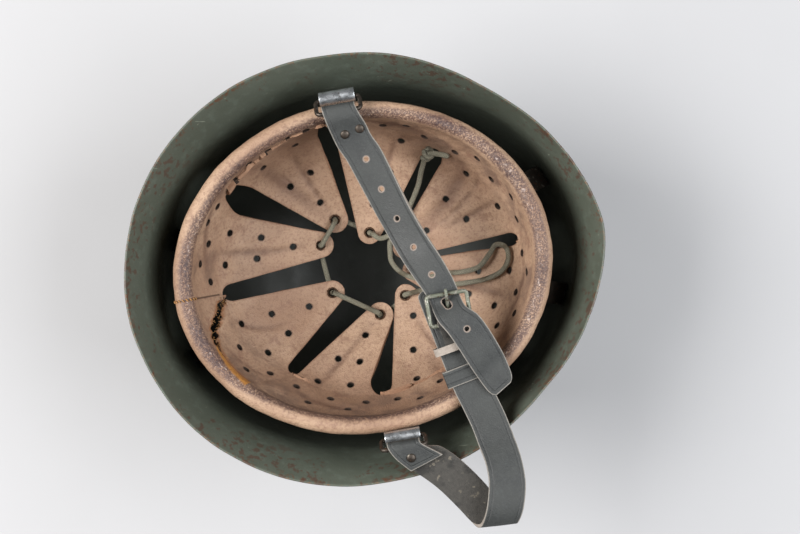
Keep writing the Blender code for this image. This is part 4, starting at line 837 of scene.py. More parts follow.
# Creases: tongue, first place across and along it, last place, width and depth in metres; the colour darkens
# along each as painted shade
CREASES = (
    ("d", (0.62, -0.05), (0.45, 0.62), 0.0016, 0.0009), ("d", (0.30, 0.10), (0.38, 0.50), 0.0022, 0.0006),
    ("h", (1.0, -0.12), (0.80, -0.85), 0.0009, 0.0006), ("f", (0.62, -0.50), (0.50, 0.35), 0.0065, 0.0006),
    ("d", (0.80, -0.10), (0.62, 0.70), 0.0045, 0.0006), ("b", (0.80, -0.15), (0.66, 0.75), 0.0050, 0.0006),
    ("b", (0.35, 0.10), (0.50, 0.78), 0.0022, 0.0012), ("b", (0.72, 0.05), (0.60, 0.60), 0.0020, 0.0009),
    ("a", (0.60, 0.00), (0.52, 0.66), 0.0024, 0.0008), ("h", (0.20, 0.06), (0.55, 0.40), 0.0018, 0.0007),
    ("g", (0.30, 0.02), (0.46, 0.70), 0.0022, 0.0009), ("f", (0.70, 0.05), (0.55, 0.60), 0.0020, 0.0008),
    ("c", (0.25, 0.05), (0.50, 0.55), 0.0020, 0.0007), ("e", (0.40, 0.02), (0.50, 0.62), 0.0026, 0.0012),
    ("c", (0.05, -0.42), (0.95, -0.50), 0.0030, 0.0005), ("g", (0.10, -0.35), (0.90, -0.62), 0.0030, 0.0005),
    ("a", (0.05, -0.60), (0.80, -0.30), 0.0028, 0.0005), ("e", (0.05, -0.45), (0.90, -0.30), 0.0030, 0.0006),
    ("a", (1.0, -0.95), (1.0, -0.02), 0.0006, 0.0005), ("h", (0.95, -0.30), (0.45, -0.55), 0.0014, 0.0008),
)

# %% Leather grid
across_shares = np.linspace(0, 1, TONGUE_COLUMNS + 1)[None, :]
tongue_shares = np.concatenate((
    np.linspace(0, ROOT_END, 14, endpoint=False), np.linspace(ROOT_END, TIP_START, 26, endpoint=False),
    np.linspace(TIP_START, 1, 14),
))
BAND_ROW = TAIL_ROWS + ROLL_ROWS
ROOT_ROW = BAND_ROW + BAND_ROWS

tail_turns = np.linspace(-1, 0, TAIL_ROWS, endpoint=False)
turns = np.concatenate((tail_turns, np.linspace(0, np.pi, ROLL_ROWS, endpoint=False)))
down = np.concatenate((np.linspace(-1, 0, BAND_ROWS, endpoint=False), tongue_shares))
grids = []
for tongue in range(COUNT):
    roll_part = roll_points(tongue, across_shares, turns[:, None])
    band_part = tongue_points(tongue, across_shares, down[:, None])
    grids.append(np.concatenate((roll_part, band_part)))
grid = np.array(grids)
rows_per_grid, columns_per_grid = grid.shape[1:3]
print("leather grid", grid.shape)

# Neighbouring grids share their edge points down to the slots' roots
ids = np.arange(grid[..., 0].size).reshape(grid.shape[:3])
ids[:, :ROOT_ROW + 1, -1] = np.roll(ids[:, :ROOT_ROW + 1, 0], -1, axis=0)
face_corners = (ids[:, :-1, :-1], ids[:, :-1, 1:], ids[:, 1:, 1:], ids[:, 1:, :-1])
leather_faces = np.stack(face_corners, axis=-1).reshape(-1, 4)

# Directions square to the leather, from its own grid; both copies of a shared edge get their mean
normals = np.array([grid_normals(one) for one in grid])
shared = normals[:, :ROOT_ROW + 1, -1] + np.roll(normals[:, :ROOT_ROW + 1, 0], -1, axis=0)
normals[:, :ROOT_ROW + 1, -1] = unit(shared)
normals[:, :ROOT_ROW + 1, 0] = np.roll(unit(shared), 1, axis=0)
if normals[:, -8, TONGUE_COLUMNS // 2, 2].mean() < 0:
    normals = -normals
    leather_faces = leather_faces[:, ::-1]

# %% Wear and edges of the leather
row_number = np.arange(rows_per_grid)[None, :, None] + np.zeros(grid.shape[:3])
rows_flat = row_number.ravel()
flat_points = grid.reshape(-1, 3)
flat_normals = normals.reshape(-1, 3)
grid_degrees = np.degrees(np.arctan2(grid[..., 1], grid[..., 0] - LINER_SHIFT)) % 360
degrees = grid_degrees.ravel()
crest_rows = np.array(CREST_BAND)
crest_middle = np.interp(grid_degrees, crest_rows[:, 0], crest_rows[:, 1])
crest_share = np.exp(-((row_number - TAIL_ROWS - ROLL_ROWS * crest_middle) / 3.8) ** 2)
below_roll = np.clip((row_number - BAND_ROW) / 4, 0, 1)
band_share = below_roll * np.clip((ROOT_ROW + 16 - row_number) / 26, 0.15, 1)

edge_gap = np.minimum(
    np.linalg.norm(grid - grid[:, :, :1], axis=-1), np.linalg.norm(grid - grid[:, :, -1:], axis=-1)
)
edge_gap = np.where(row_number > ROOT_ROW, edge_gap, 0.01)
half_way = columns_per_grid // 2
tip_gap = np.linalg.norm(grid - grid[:, -1:, half_way:half_way + 1], axis=-1)
edge_gap = np.minimum(edge_gap, tip_gap)

# %% Creases of the leather
CREASE_POINTS = 24
# the first array is painted shade for the colour along each crease; the second presses the leather in
crease_shade = np.zeros(len(flat_points))
crease_drop = np.zeros(len(flat_points))
for tongue_name, first, last, width, drop in CREASES:
    tongue = TONGUE_NAMES.index(tongue_name)
    line = np.linspace(first, last, CREASE_POINTS)
    places = np.array([tongue_points(tongue, across, along) for across, along in line])
    aside = tongue_normal(tongue, *line[CREASE_POINTS // 2])[[1, 2, 0]]
    places += 0.0012 * np.sin(np.linspace(0, 7, CREASE_POINTS))[:, None] * aside
    fade = np.sin(np.linspace(0.2, np.pi - 0.2, CREASE_POINTS))
    gaps = np.linalg.norm(flat_points[:, None] - places[None], axis=-1)
    nearest = gaps.argmin(axis=1)
    pressed = np.exp(-(gaps.min(axis=1) / width) ** 2) * fade[nearest]
    crease_shade = np.maximum(crease_shade, pressed)
    crease_drop = np.maximum(crease_drop, pressed * drop)

soft = 0.00055 * ripple(flat_points, 28, 4) + 0.00022 * ripple(flat_points, 95, 5)
calm = 0.35 + 0.65 * np.clip((rows_flat - BAND_ROW) / 10, 0, 1)
leather_points = flat_points + flat_normals * (soft * calm - crease_drop)[:, None]

# %% Holes of the leather
hole_gap = np.full(len(leather_points), FAR_AWAY)
for tongue in range(COUNT):
    holes = [(across, along, AIR_HOLE_RADIUS) for across, along in AIR_HOLES]
    holes.append((0.5, EYELET_ALONG[tongue], EYELET_BORE + EYELET_WALL))
    for across, along, radius in holes:
        flat_centre = tongue_points(tongue, across, along)
        nearest = np.linalg.norm(flat_points - flat_centre, axis=1).argmin()
        centre = flat_centre + leather_points[nearest] - flat_points[nearest]
        leather_faces = punch(leather_points, leather_faces, centre, radius)
        hole_gap = np.minimum(hole_gap, np.linalg.norm(leather_points - centre, axis=1) - radius)

# %% Tear of the leather
# It follows the headband in a long spindle with ragged lips
depth = RIM_HEIGHT - flat_points[:, 2]
tear_rows = np.array(TEAR)
tear_middle = LINER_DEPTH * np.interp(degrees, tear_rows[:, 0], tear_rows[:, 1], left=9, right=9)
ragged = 1 + 0.30 * np.sin(degrees * 3.1) * np.sin(degrees * 7.7 + 1) + 0.12 * np.sin(degrees * 19)
tear_half = TEAR_HALF_HEIGHT * np.interp(degrees, tear_rows[:, 0], tear_rows[:, 2], left=0, right=0) * ragged
on_band = (rows_flat > BAND_ROW) & (rows_flat < ROOT_ROW + 6)
tear_gap = np.where(on_band & (tear_half > 0), np.abs(depth - tear_middle) - tear_half, FAR_AWAY)
gap_in = tear_gap[leather_faces].mean(axis=1) < 0
kept = leather_faces[~gap_in]
lips = np.intersect1d(kept, leather_faces[gap_in])
lip_side = np.sign(depth - tear_middle)[lips]
leather_points[lips, 2] = RIM_HEIGHT - (tear_middle[lips] + lip_side * tear_half[lips])
curl = np.exp(-np.maximum(tear_gap, 0) / 0.0018)
leather_points -= flat_normals * (0.0010 * curl * (tear_gap < 0.01) * (depth > tear_middle))[:, None]
leather_faces = kept
torn_gap = np.where(tear_gap < 0.04, np.maximum(tear_gap, 0), FAR_AWAY)

# Past the tear's lower end the grain has come off, between the tear and the roll
lower_end = np.clip((degrees - 196) / 4, 0, 1) * np.clip((221 - degrees) / 5, 0, 1)
off_roll = rows_flat > TAIL_ROWS + 0.7 * ROLL_ROWS
near_tear = np.exp(-(np.abs(depth - tear_middle) / 0.0070) ** 2)
frayed = lower_end * (depth < tear_middle) * near_tear * off_roll

# %% Seam of the leather and the finished piece
on_seam = (rows_flat > TAIL_ROWS + 2) & (rows_flat < ROOT_ROW - 1)
reach = np.hypot(flat_points[:, 0] - LINER_SHIFT, flat_points[:, 1])
seam_gap = np.where(on_seam, np.radians(degrees - SEAM_DEGREES) * reach, FAR_AWAY)

liner = make_piece(
    "leather_liner", leather_points, leather_faces, [leather_skin, leather_back, leather_edge],
    values={
        "crest": crest_share.ravel(), "band": band_share.ravel(), "edge": edge_gap.ravel(),
        "hole": np.maximum(hole_gap, 0), "torn": torn_gap, "crease": crease_shade, "frayed": frayed,
        "seam": seam_gap,
    },
)
give_wall(liner, LEATHER_WALL, offset=-1.0, back=1, rim=2)
settle(liner, sharp=42)
wear(liner, "liner_leather", "leather_liner")

# %% [markdown]
# ## Thread and torn fibres
# At the back the ends of the roll meet, and a short row of waxed stitches joins them. Along the tear
# the leather ends in loose fibres. Both are many small strands of the same form, so one function
# makes them all at once.


# %% Strands
def strands(name, roots, tips, bows, radius, finish, sides=5, rings=7):
    """Thin strands from roots to tips: each bows out by its bow in the middle and thins to its ends."""
    share = np.linspace(0, 1, rings)[None, :, None]
    line = roots[:, None] * (1 - share) + tips[:, None] * share + bows[:, None] * 4 * share * (1 - share)
    forward = unit(tips - roots)
    side = unit(np.cross(forward, bows))[:, None, None]
    other = np.cross(forward[:, None, None], side)
    turn = (np.arange(sides) / sides * 2 * np.pi)[None, None, :, None]
    width = radius * np.sin(np.pi * (0.04 + 0.92 * share)) ** 0.5
    points = line[:, :, None] + width[:, :, None] * (np.cos(turn) * side + np.sin(turn) * other)
    first = (np.arange(len(roots)) * rings * sides)[:, None]
    faces = (first[..., None] + grid_faces(rings, sides, wrap_columns=True)).reshape(-1, 4)
    ring = np.arange(sides)
    lids = [start + ring for start in first[:, 0]]
    lids += [start + rings * sides - 1 - ring for start in first[:, 0]]
    return make_piece(name, points.reshape(-1, 3), faces, [finish], lids=lids)


# %% Thread finish
waxed = Finish("waxed_thread", 0.6)
waxed_tone = waxed.mix(waxed.clouds(900, 3, 0.7), srgb(176, 130, 76), srgb(112, 76, 42))
waxed_finish = waxed.done(waxed_tone, normal=waxed.bump(waxed.clouds(2200, 2), 0.0002))

# %% Stitches
SEAM_ANGLE = math.radians(SEAM_DEGREES)
STITCH_TURNS = np.radians(np.arange(24, 176, 21))
STITCH_REACH = 0.009
STITCH_STAND = 0.0004
HALF_STITCH = math.radians(7.0)


def on_roll(angle, turn, stand):
    """A point that stands off the rolled edge by a distance, at a turn over it."""
    share = 1 - ROLL_SHARE / 2 * (1 - np.cos(turn)) + stand * np.cos(turn) / liner_reach(angle)
    return liner_place(angle, share, ROLL_DEPTH - (ROLL_RADIUS + stand) * np.sin(turn))


stitch_roots = on_roll(SEAM_ANGLE - STITCH_REACH, STITCH_TURNS - HALF_STITCH, STITCH_STAND)
stitch_tips = on_roll(SEAM_ANGLE + STITCH_REACH, STITCH_TURNS + HALF_STITCH, STITCH_STAND)
stitch_bows = 0.35 * (on_roll(SEAM_ANGLE, STITCH_TURNS, 0.0010) - on_roll(SEAM_ANGLE, STITCH_TURNS, 0.0))
stitches = strands("roll_stitches", stitch_roots, stitch_tips, stitch_bows, 0.00048, waxed_finish, sides=8)
wear(stitches, "core_cord")

# %% Torn fibres
FIBRES = 130
random = np.random.default_rng(7)
lip_ids = lips[random.integers(0, len(lips), FIBRES)]
lip_normals = flat_normals[lip_ids]
above_tear = np.sign(leather_points[lip_ids, 2:] - (RIM_HEIGHT - tear_middle[lip_ids, None]))
fibre_roots = leather_points[lip_ids] - lip_normals * random.uniform(0.0003, 0.0014, (FIBRES, 1))
fibre_aims = random.normal(0, 0.45, (FIBRES, 3)) + np.array((0, 0, -1.0)) * above_tear
fibre_tips = fibre_roots + unit(fibre_aims) * random.uniform(0.0010, 0.0032, (FIBRES, 1))
fibre_bows = random.normal(0, 0.00035, (FIBRES, 3)) + lip_normals * 0.0002
fibres_piece = strands("torn_fibres", fibre_roots, fibre_tips, fibre_bows, 0.00020, waxed_finish)
wear(fibres_piece, "core_cord")

# %% [markdown]
# ## The shell
# The bowl was pressed from one sheet of steel: a superelliptic dome that turns outwards into a flared
# rim, higher over the brow, which is the visor. The surface is a function of the direction and of a
# row that runs from the crown to the rim; the steel's thickness goes inwards from it. The inside has
# the same paint with painted shade, which grows darker with the distance from the rim, as the
# bowl's depth lies in shadow.

# %% Shell finish
def shell_paint(name, depth_shade):
    """The shell's paint; the last number is how dark painted shade makes it with the distance from the rim,
    as the bowl's depth lies in shadow.
    """
    paint = Finish(name, 0.46, 0.0)
    rim_gap = paint.carried("rim")
    mottle = paint.clouds(30, 4)
    chips = paint.clouds(420, 4, 0.7)
    flaking = paint.plus(chips, paint.times(paint.clouds(45, 2), 0.5))
    chipped = paint.times(paint.ease(flaking, 0.80, 0.88), paint.ease(rim_gap, 0.0008, 0.0060, 1.0, 0.0))
    edge_wear = paint.times(paint.ease(rim_gap, 0.0001, 0.0010, 0.8, 0.0), paint.ease(chips, 0.50, 0.62))
    spots = paint.plus(paint.clouds(230, 3, 0.6), paint.times(paint.clouds(22, 2), 0.6))
    flare_spots = paint.times(paint.ease(spots, 0.88, 0.96), paint.ease(rim_gap, 0.010, 0.045, 1.0, 0.0))
    nicks = paint.ease(paint.clouds(1.0, 2, 0.5, at=paint.stretched((40, 700, 90))), 0.735, 0.76)
    specks = paint.ease(paint.clouds(520, 2, 0.5), 0.735, 0.77)
    rust = paint.times(paint.ease(paint.clouds(14, 3), 0.66, 0.78), paint.ease(chips, 0.40, 0.60))
    shell_tone = paint.layers(
        paint.mix(mottle, srgb(72, 78, 68), srgb(86, 92, 82)),
        (paint.times(paint.ease(paint.clouds(170, 4), 0.50, 0.72), 0.35), srgb(98, 108, 98)),
        (paint.times(specks, 0.7), srgb(128, 132, 118)),
        (paint.times(nicks, 0.55), srgb(142, 148, 134)),
        (paint.times(rust, 0.7), srgb(98, 66, 44)),
        (chipped, srgb(92, 62, 44)),
        (edge_wear, srgb(104, 88, 70)),
        (paint.times(flare_spots, 0.75), srgb(78, 58, 48)),
        # painted shade: the paint darkens towards the crown by the given share, as the bowl's depth lies in
        # shadow
        (paint.ease(rim_gap, 0.035, 0.095, 0.0, depth_shade), srgb(16, 17, 15)),
    )
    return paint.done(
        shell_tone, roughness=paint.ease(mottle, 0.3, 0.7, 0.42, 0.56),
        normal=paint.bump(paint.clouds(60, 3), 0.0005, below=paint.bump(paint.clouds(1500, 2), 0.00008)),
    )


shell_coat = shell_paint("shell_paint", 0.0)
# the inside gets painted shade deep in the bowl
shell_inside = shell_paint("shell_inside", 0.80)

# %% Shell surface
SHELL_WALL = 0.0012
RIM_HALF_LENGTH = 0.142
RIM_HALF_WIDTH = 0.1256
VISOR_RAISE = 0.012
NAPE_DROP = 0.003
DOME_HALF_LENGTH = 0.1315
DOME_HALF_WIDTH = 0.1125
DOME_HEIGHT = 0.118
DOME_POWER = 2.0 / 2.3
CROWN_FLAT_RADIUS = 0.018
FLARE_CURVE = 1.9
# Degrees from the front and the rim's reach as a share of its ellipse
RIM_OUTLINE = (
    (0, 1.005), (15, 0.981), (30, 0.964), (45, 0.954), (60, 0.971), (75, 0.991), (90, 1.0),
    (105, 1.014), (120, 1.019), (135, 1.014), (150, 1.005), (165, 0.993), (180, 0.993),
)


# %% Dome and flare
def dome_section(turn):
    """Reach share and height of the superelliptic dome at a turn from the crown to upright."""
    upright = np.maximum(np.cos(turn), 0.0)
    return np.sin(turn) ** DOME_POWER, DOME_HEIGHT * (1 - upright**DOME_POWER)


FLAT_SHARE = CROWN_FLAT_RADIUS / DOME_HALF_LENGTH
FLAT_TURN = math.asin(FLAT_SHARE ** (1 / DOME_POWER))
FLAT_HEIGHT = dome_section(FLAT_TURN)[1]


def shell_points(angle, row):
    """Outer surface: row 0 to 1 is the small flat at the crown, 1 to 2 the dome, 2 to 3 the flare."""
    angle, row = np.broadcast_arrays(angle, row)
    turn = FLAT_TURN + (np.pi / 2 - FLAT_TURN) * np.clip(row - 1, 0, 1)
    share, height = dome_section(turn)
    share = np.where(row < 1, FLAT_SHARE * row, share)
    height = height - FLAT_HEIGHT
    reach = share * ellipse_reach(angle, DOME_HALF_LENGTH, DOME_HALF_WIDTH)
    from_front = np.degrees(np.abs((angle + np.pi) % (2 * np.pi) - np.pi))
    rim = smooth(RIM_OUTLINE, from_front, True) * ellipse_reach(angle, RIM_HALF_LENGTH, RIM_HALF_WIDTH)
    brow = (0.5 + 0.5 * np.cos(angle)) ** 4
    nape = (0.5 - 0.5 * np.cos(angle)) ** 4
    rim_height = RIM_HEIGHT - VISOR_RAISE * brow + NAPE_DROP * nape
    flare = np.clip(row - 2, 0, 1)
    reach = reach + (rim - reach) * flare**FLARE_CURVE
    height = height + (rim_height - height) * flare
    return np.stack((reach * np.cos(angle), reach * np.sin(angle), height), axis=-1)


def shell_seat(angle, height):
    """Point and outward direction of the dome at a height on it."""
    turns = np.linspace(1.0, 2.0, 400)
    row = float(np.interp(height, shell_points(angle, turns)[:, 2], turns))
    place = shell_points(angle, row)
    around = shell_points(angle + 0.01, row) - shell_points(angle - 0.01, row)
    upward = shell_points(angle, row + 0.01) - shell_points(angle, row - 0.01)
    return place, unit(np.cross(around, upward))


# %% Shell
SHELL_COLUMNS = 288
shell_rows = np.concatenate(([0.02, 0.5], np.linspace(1, 2, 90, endpoint=False), np.linspace(2, 3, 34)))
shell_angles = np.linspace(0, 2 * np.pi, SHELL_COLUMNS, endpoint=False)
shell_grid = shell_points(shell_angles[None, :], shell_rows[:, None])
along_wall = np.linalg.norm(np.diff(shell_grid, axis=0), axis=-1)
rim_gap_values = np.concatenate((np.cumsum(along_wall[::-1], axis=0)[::-1], np.zeros((1, SHELL_COLUMNS))))
round_shell = np.roll(shell_grid, -1, axis=1) - np.roll(shell_grid, 1, axis=1)
shell_normals = unit(np.cross(round_shell, np.gradient(shell_grid, axis=0)))
beaten = 0.00012 * ripple(shell_grid, 35, 11) * np.clip((shell_rows - 1.1) / 0.3, 0, 1)[:, None]
shell_mesh_points = (shell_grid + shell_normals * beaten[..., None]).reshape(-1, 3)
shell_faces = grid_faces(len(shell_rows), SHELL_COLUMNS, wrap_columns=True)

VENT_HEIGHT = 0.763 * DOME_HEIGHT
VENT_TUBE = 0.0032
VENT_DEGREES = (18, 162, 198, 342)
VENT_SEATS = [shell_seat(math.radians(from_front), VENT_HEIGHT) for from_front in VENT_DEGREES]
for seat, _ in VENT_SEATS:
    shell_faces = punch(shell_mesh_points, shell_faces, seat, VENT_TUBE)
shell = make_piece(
    "steel_shell", shell_mesh_points, shell_faces, [shell_coat, shell_inside],
    values={"rim": rim_gap_values.ravel()}, lids=[np.arange(SHELL_COLUMNS)[::-1]],
)
give_wall(shell, SHELL_WALL, back=1)
soften_edges(shell, 0.0004, 60)
settle(shell, sharp=50)
wear(shell, "shell_paint", "shell")

# %% [markdown]
# ## Straps
# A strap is a flat profile carried along a path. Each row of its table holds a place, the direction
# of its width and its width, so it can turn, lean and narrow on its way through rings and buckle.
# The smooth side is dyed slate grey and creased along both edges; the flesh side is fibrous, and the
# cut edges have kept the leather's own light colour.

# %% Strap finishes
dyed = Finish("strap_leather", 0.50)
strap_cloud = dyed.clouds(60, 4, 0.6)
strap_fine = dyed.clouds(700, 3, 0.7)
inside_edge = dyed.carried("edge")
line = dyed.math("SUBTRACT", inside_edge, 0.0024)
crease_line = dyed.ease(dyed.math("ABSOLUTE", line), 0.0, 0.0007, 1.0, 0.0)
uneven_edge = dyed.plus(inside_edge, dyed.times(strap_fine, 0.0008))
worn_edge = dyed.ease(uneven_edge, 0.0004, 0.0012, 1.0, 0.0)
cracks = dyed.ease(dyed.clouds(1.0, 3, 0.6, at=dyed.stretched((150, 900, 150))), 0.60, 0.72)
strap_tone = dyed.layers(
    dyed.mix(dyed.ease(strap_cloud, 0.30, 0.70), srgb(44, 46, 46), srgb(56, 58, 57)),
    (dyed.times(dyed.ease(strap_fine, 0.48, 0.70), 0.40), srgb(68, 71, 70)),
    (dyed.times(cracks, 0.40), srgb(46, 48, 48)),
    (dyed.times(crease_line, 0.30), srgb(40, 42, 43)),
    (dyed.ease(dyed.carried("hole"), 0.0, 0.0010, 0.75, 0.0), srgb(160, 142, 130)),
    (dyed.times(worn_edge, 0.75), srgb(150, 144, 136)),
)
strap_relief = dyed.math("SUBTRACT", dyed.times(dyed.cells(1300), 0.4), dyed.times(crease_line, 0.9))
strap_skin = dyed.done(
    strap_tone, roughness=dyed.ease(strap_cloud, 0.3, 0.7, 0.55, 0.70),
    normal=dyed.bump(strap_relief, 0.0003, below=dyed.bump(strap_cloud, 0.0006)),
)

# %% Strap back and cut edge
suede = Finish("strap_back", 0.95)
fibres = suede.clouds(520, 4, 0.72)
suede_tone = suede.layers(
    suede.mix(fibres, srgb(44, 43, 42), srgb(82, 79, 74)),
    (suede.times(suede.ease(suede.clouds(85, 3), 0.52, 0.66), 0.7), srgb(36, 36, 35)),
    (suede.times(suede.ease(suede.clouds(240, 2), 0.62, 0.70), 0.5), srgb(128, 120, 106)),
)
strap_back = suede.done(suede_tone, normal=suede.bump(suede.clouds(1100, 4, 0.7), 0.0006))

cut_strap = Finish("strap_cut_edge", 0.85)
cut_strap_tone = cut_strap.mix(cut_strap.clouds(500, 3, 0.7), srgb(172, 162, 152), srgb(120, 110, 102))
strap_edge = cut_strap.done(cut_strap_tone, normal=cut_strap.bump(cut_strap.clouds(1500, 2), 0.0003))

# %% Strap values
STRAP_WIDTH = 0.021
STRAP_WALL = 0.0020
STRAP_HOLE = 0.0016
STRAP_HOLE_PITCH = 0.0197
GAP = 0.0003
KEEPER_WALL = 0.0012
PRONG_WIRE = 0.0020
BUCKLE_WIRE = 0.0025
RING_WIRE = 0.0026
ROLL_TOP = 0.157
SHORT_LAYER = 0.1601
RING_REACH = 0.0129
KEEPER_UNDER = ROLL_TOP + 2 * GAP + KEEPER_WALL / 2
HINGE_HEIGHT = SHORT_LAYER + STRAP_WALL / 2 + PRONG_WIRE + 2 * GAP + BUCKLE_WIRE / 2
LONG_AT_HINGE = HINGE_HEIGHT + BUCKLE_WIRE / 2 + PRONG_WIRE + 4 * GAP + STRAP_WALL / 2
CHAPE_WALL = 0.0015
CHAPE_FOLD = BUCKLE_WIRE / 2 + GAP + CHAPE_WALL / 2
CHAPE_UNDER = HINGE_HEIGHT - CHAPE_FOLD
CHAPE_OVER = CHAPE_UNDER + CHAPE_WALL + GAP
KEEPER_1_TOP = 0.1661
LONG_AT_KEEPER_1 = 0.1683
KEEPER_2_TOP = 0.1620
LONG_AT_KEEPER_2 = 0.1642
LONG_AT_BAR = SHORT_LAYER + STRAP_WALL + 3 * GAP
TOP_BAR_HEIGHT = LONG_AT_BAR + STRAP_WALL / 2 + 4 * GAP + BUCKLE_WIRE / 2
BRACKET_ACROSS = LINER_HALF_WIDTH + 0.0030
BRACKET_HEIGHT = RIM_HEIGHT - 0.0065
FAR_LEAN = math.radians(39)
NEAR_LEAN = math.radians(69)


def ring_bar(along, across, lean):
    """Middle of the bar that the strap goes round: the ring's reach from its bracket, at its lean."""
    run, rise = RING_REACH * ray(lean)
    return np.array((along, across - run, BRACKET_HEIGHT + rise))


FAR_BAR = ring_bar(0.0, BRACKET_ACROSS, FAR_LEAN)
NEAR_BAR = ring_bar(0.0035, -BRACKET_ACROSS, NEAR_LEAN)
BAR_LAYER = RING_WIRE / 2 + GAP + STRAP_WALL / 2
FAR = FAR_BAR[1] / LINER_HALF_WIDTH
NEAR = NEAR_BAR[1] / LINER_HALF_WIDTH
FAR_TOP = FAR_BAR[2]
NEAR_TOP = NEAR_BAR[2]
BUCKLE = -0.417

# %% Long strap's route
# Along and across as shares of the liner's half width, height, heading and lean of the width in
# degrees, and width share; from the riveted end round the far ring to the tip
LONG_STRAP = (
    (0.050, FAR - 0.175, FAR_TOP - BAR_LAYER - 0.0050, 6, 0, 0.96),
    (0.030, FAR - 0.110, FAR_TOP - BAR_LAYER - 0.0030, 5, 0, 0.96),
    (0.010, FAR - 0.045, FAR_TOP - BAR_LAYER - 0.0008, 2, 0, 0.94),
    (0.000, FAR + 0.020, FAR_TOP - BAR_LAYER * 0.85, 0, 0, 0.92),
    (0.000, FAR + 0.036, FAR_TOP, 0, 0, 0.92),
    (0.000, FAR + 0.018, FAR_TOP + BAR_LAYER * 0.90, 0, 0, 0.92),
    (0.015, FAR - 0.040, FAR_TOP + BAR_LAYER - 0.0006, 3, 0, 0.96),
    (0.038, FAR - 0.110, FAR_TOP - BAR_LAYER + 0.0005, 7, 1, 1.00),
    (0.058, FAR - 0.180, FAR_TOP - BAR_LAYER - 0.0022, 10, 3, 1.00),
    (0.104, 0.648, ROLL_TOP + 0.0028, 14, 8, 1.00),
    (0.166, 0.453, ROLL_TOP + 0.0005, 19, 17, 1.00),
    (0.229, 0.258, ROLL_TOP - 0.0005, 21, 24, 1.00),
    (0.295, 0.075, ROLL_TOP + 0.0012, 22, 21, 1.00),
    (0.350, -0.055, ROLL_TOP + 0.0048, 23, 10, 0.96),
    (0.395, -0.165, LONG_AT_BAR + 0.0004, 23, 3, 0.90),
    (0.418, BUCKLE + 0.180, LONG_AT_BAR, 18, 1, 0.86),
    (0.426, BUCKLE + 0.138, LONG_AT_BAR + 0.0003, 17, 2, 0.86),
    (0.447, BUCKLE + 0.060, LONG_AT_BAR + 0.0053, 18, 0, 0.88),
    (0.500, BUCKLE - 0.010, LONG_AT_HINGE, 24, -1, 0.97),
    (0.545, BUCKLE - 0.100, LONG_AT_KEEPER_1 + 0.0006, 26, 0, 1.00),
    (0.590, BUCKLE - 0.210, LONG_AT_KEEPER_1 - 0.0008, 28, 0, 0.99),
    (0.625, -0.715, LONG_AT_KEEPER_2 + 0.0006, 30, 0, 0.95),
    (0.652, -0.790, LONG_AT_KEEPER_2 + 0.0003, 32, 0, 0.86),
    (0.668, -0.830, LONG_AT_KEEPER_2, 32, 0, 0.72),
    (0.675, -0.848, LONG_AT_KEEPER_2, 32, 0, 0.50),
)

# %% Short strap's route
# From the rounded end under the buckle, over the rim and back to the near ring
SHORT_STRAP = (
    (0.362, -0.186, SHORT_LAYER, 10, 0, 0.55),
    (0.368, -0.205, SHORT_LAYER, 10, 0, 0.90),
    (0.378, -0.250, SHORT_LAYER, 10, 0, 1.00),
    (0.412, BUCKLE, SHORT_LAYER, 10, 0, 1.00),
    (0.440, -0.560, SHORT_LAYER, 10, 0, 1.00),
    (0.468, -0.700, SHORT_LAYER, 11, 0, 1.00),
    (0.490, -0.800, SHORT_LAYER, 13, 0, 1.00),
    (0.520, -0.900, SHORT_LAYER + 0.0010, 15, 0, 1.00),
    (0.553, -1.020, SHORT_LAYER + 0.0045, 14, 0, 1.00),
    (0.575, -1.140, RIM_HEIGHT + 0.0040, 5, 0, 1.00),
    (0.592, -1.250, RIM_HEIGHT + 0.0090, -6, 0, 1.00),
    (0.590, -1.370, RIM_HEIGHT + 0.0125, -11, 0, 1.00),
    (0.556, -1.500, RIM_HEIGHT + 0.0135, -9, 0, 1.00),
    (0.520, -1.578, RIM_HEIGHT + 0.0115, -5, 0, 1.00),
    (0.492, -1.610, RIM_HEIGHT + 0.0070, -2, 0, 1.00),
    (0.458, -1.575, RIM_HEIGHT + 0.0028, 6, 0, 1.00),
    (0.400, -1.470, RIM_HEIGHT + 0.0016, 22, 0, 1.00),
    (0.320, -1.350, RIM_HEIGHT + 0.0018, 36, 0, 1.00),
    (0.240, -1.250, RIM_HEIGHT + 0.0022, 40, 0, 1.00),
    (0.150, -1.165, RIM_HEIGHT + 0.0026, 30, 0, 1.00),
    (0.082, NEAR - 0.040, NEAR_TOP - BAR_LAYER, 12, 0, 0.93),
    (0.038, NEAR + 0.012, NEAR_TOP - BAR_LAYER * 0.95, 2, 0, 0.90),
    (0.036, NEAR + 0.034, NEAR_TOP, 0, 0, 0.90),
    (0.038, NEAR + 0.012, NEAR_TOP + BAR_LAYER * 0.95, 2, 0, 0.90),
    (0.078, NEAR - 0.040, NEAR_TOP + BAR_LAYER - 0.0004, 12, 0, 0.93),
    (0.150, NEAR - 0.110, NEAR_TOP + BAR_LAYER - 0.0022, 18, 0, 0.98),
)
HINGE = np.array((0.434 * LINER_HALF_WIDTH, BUCKLE * LINER_HALF_WIDTH, HINGE_HEIGHT))
TOP_BAR = HINGE + (0, 0.0177, TOP_BAR_HEIGHT - HINGE_HEIGHT)
PIERCED = HINGE + 0.66 * (TOP_BAR - HINGE)


# %% Strap surface
def strap_frames(table, step=0.0009):
    """Middle, width direction, upward direction and half width along a strap, in even steps."""
    rows = spread(table, 12)
    rows[:, :2] *= LINER_HALF_WIDTH
    rows = even(rows, step)
    turn, lean = np.radians(rows[:, 3]), np.radians(rows[:, 4])
    wide = np.stack((np.cos(turn) * np.cos(lean), np.sin(turn) * np.cos(lean), np.sin(lean)), axis=-1)
    normal = unit(np.cross(unit(np.gradient(rows[:, :3], axis=0)), wide))
    return rows[:, :3], wide, normal, rows[:, 5] * STRAP_WIDTH / 2


STRAP_COLUMNS = 19


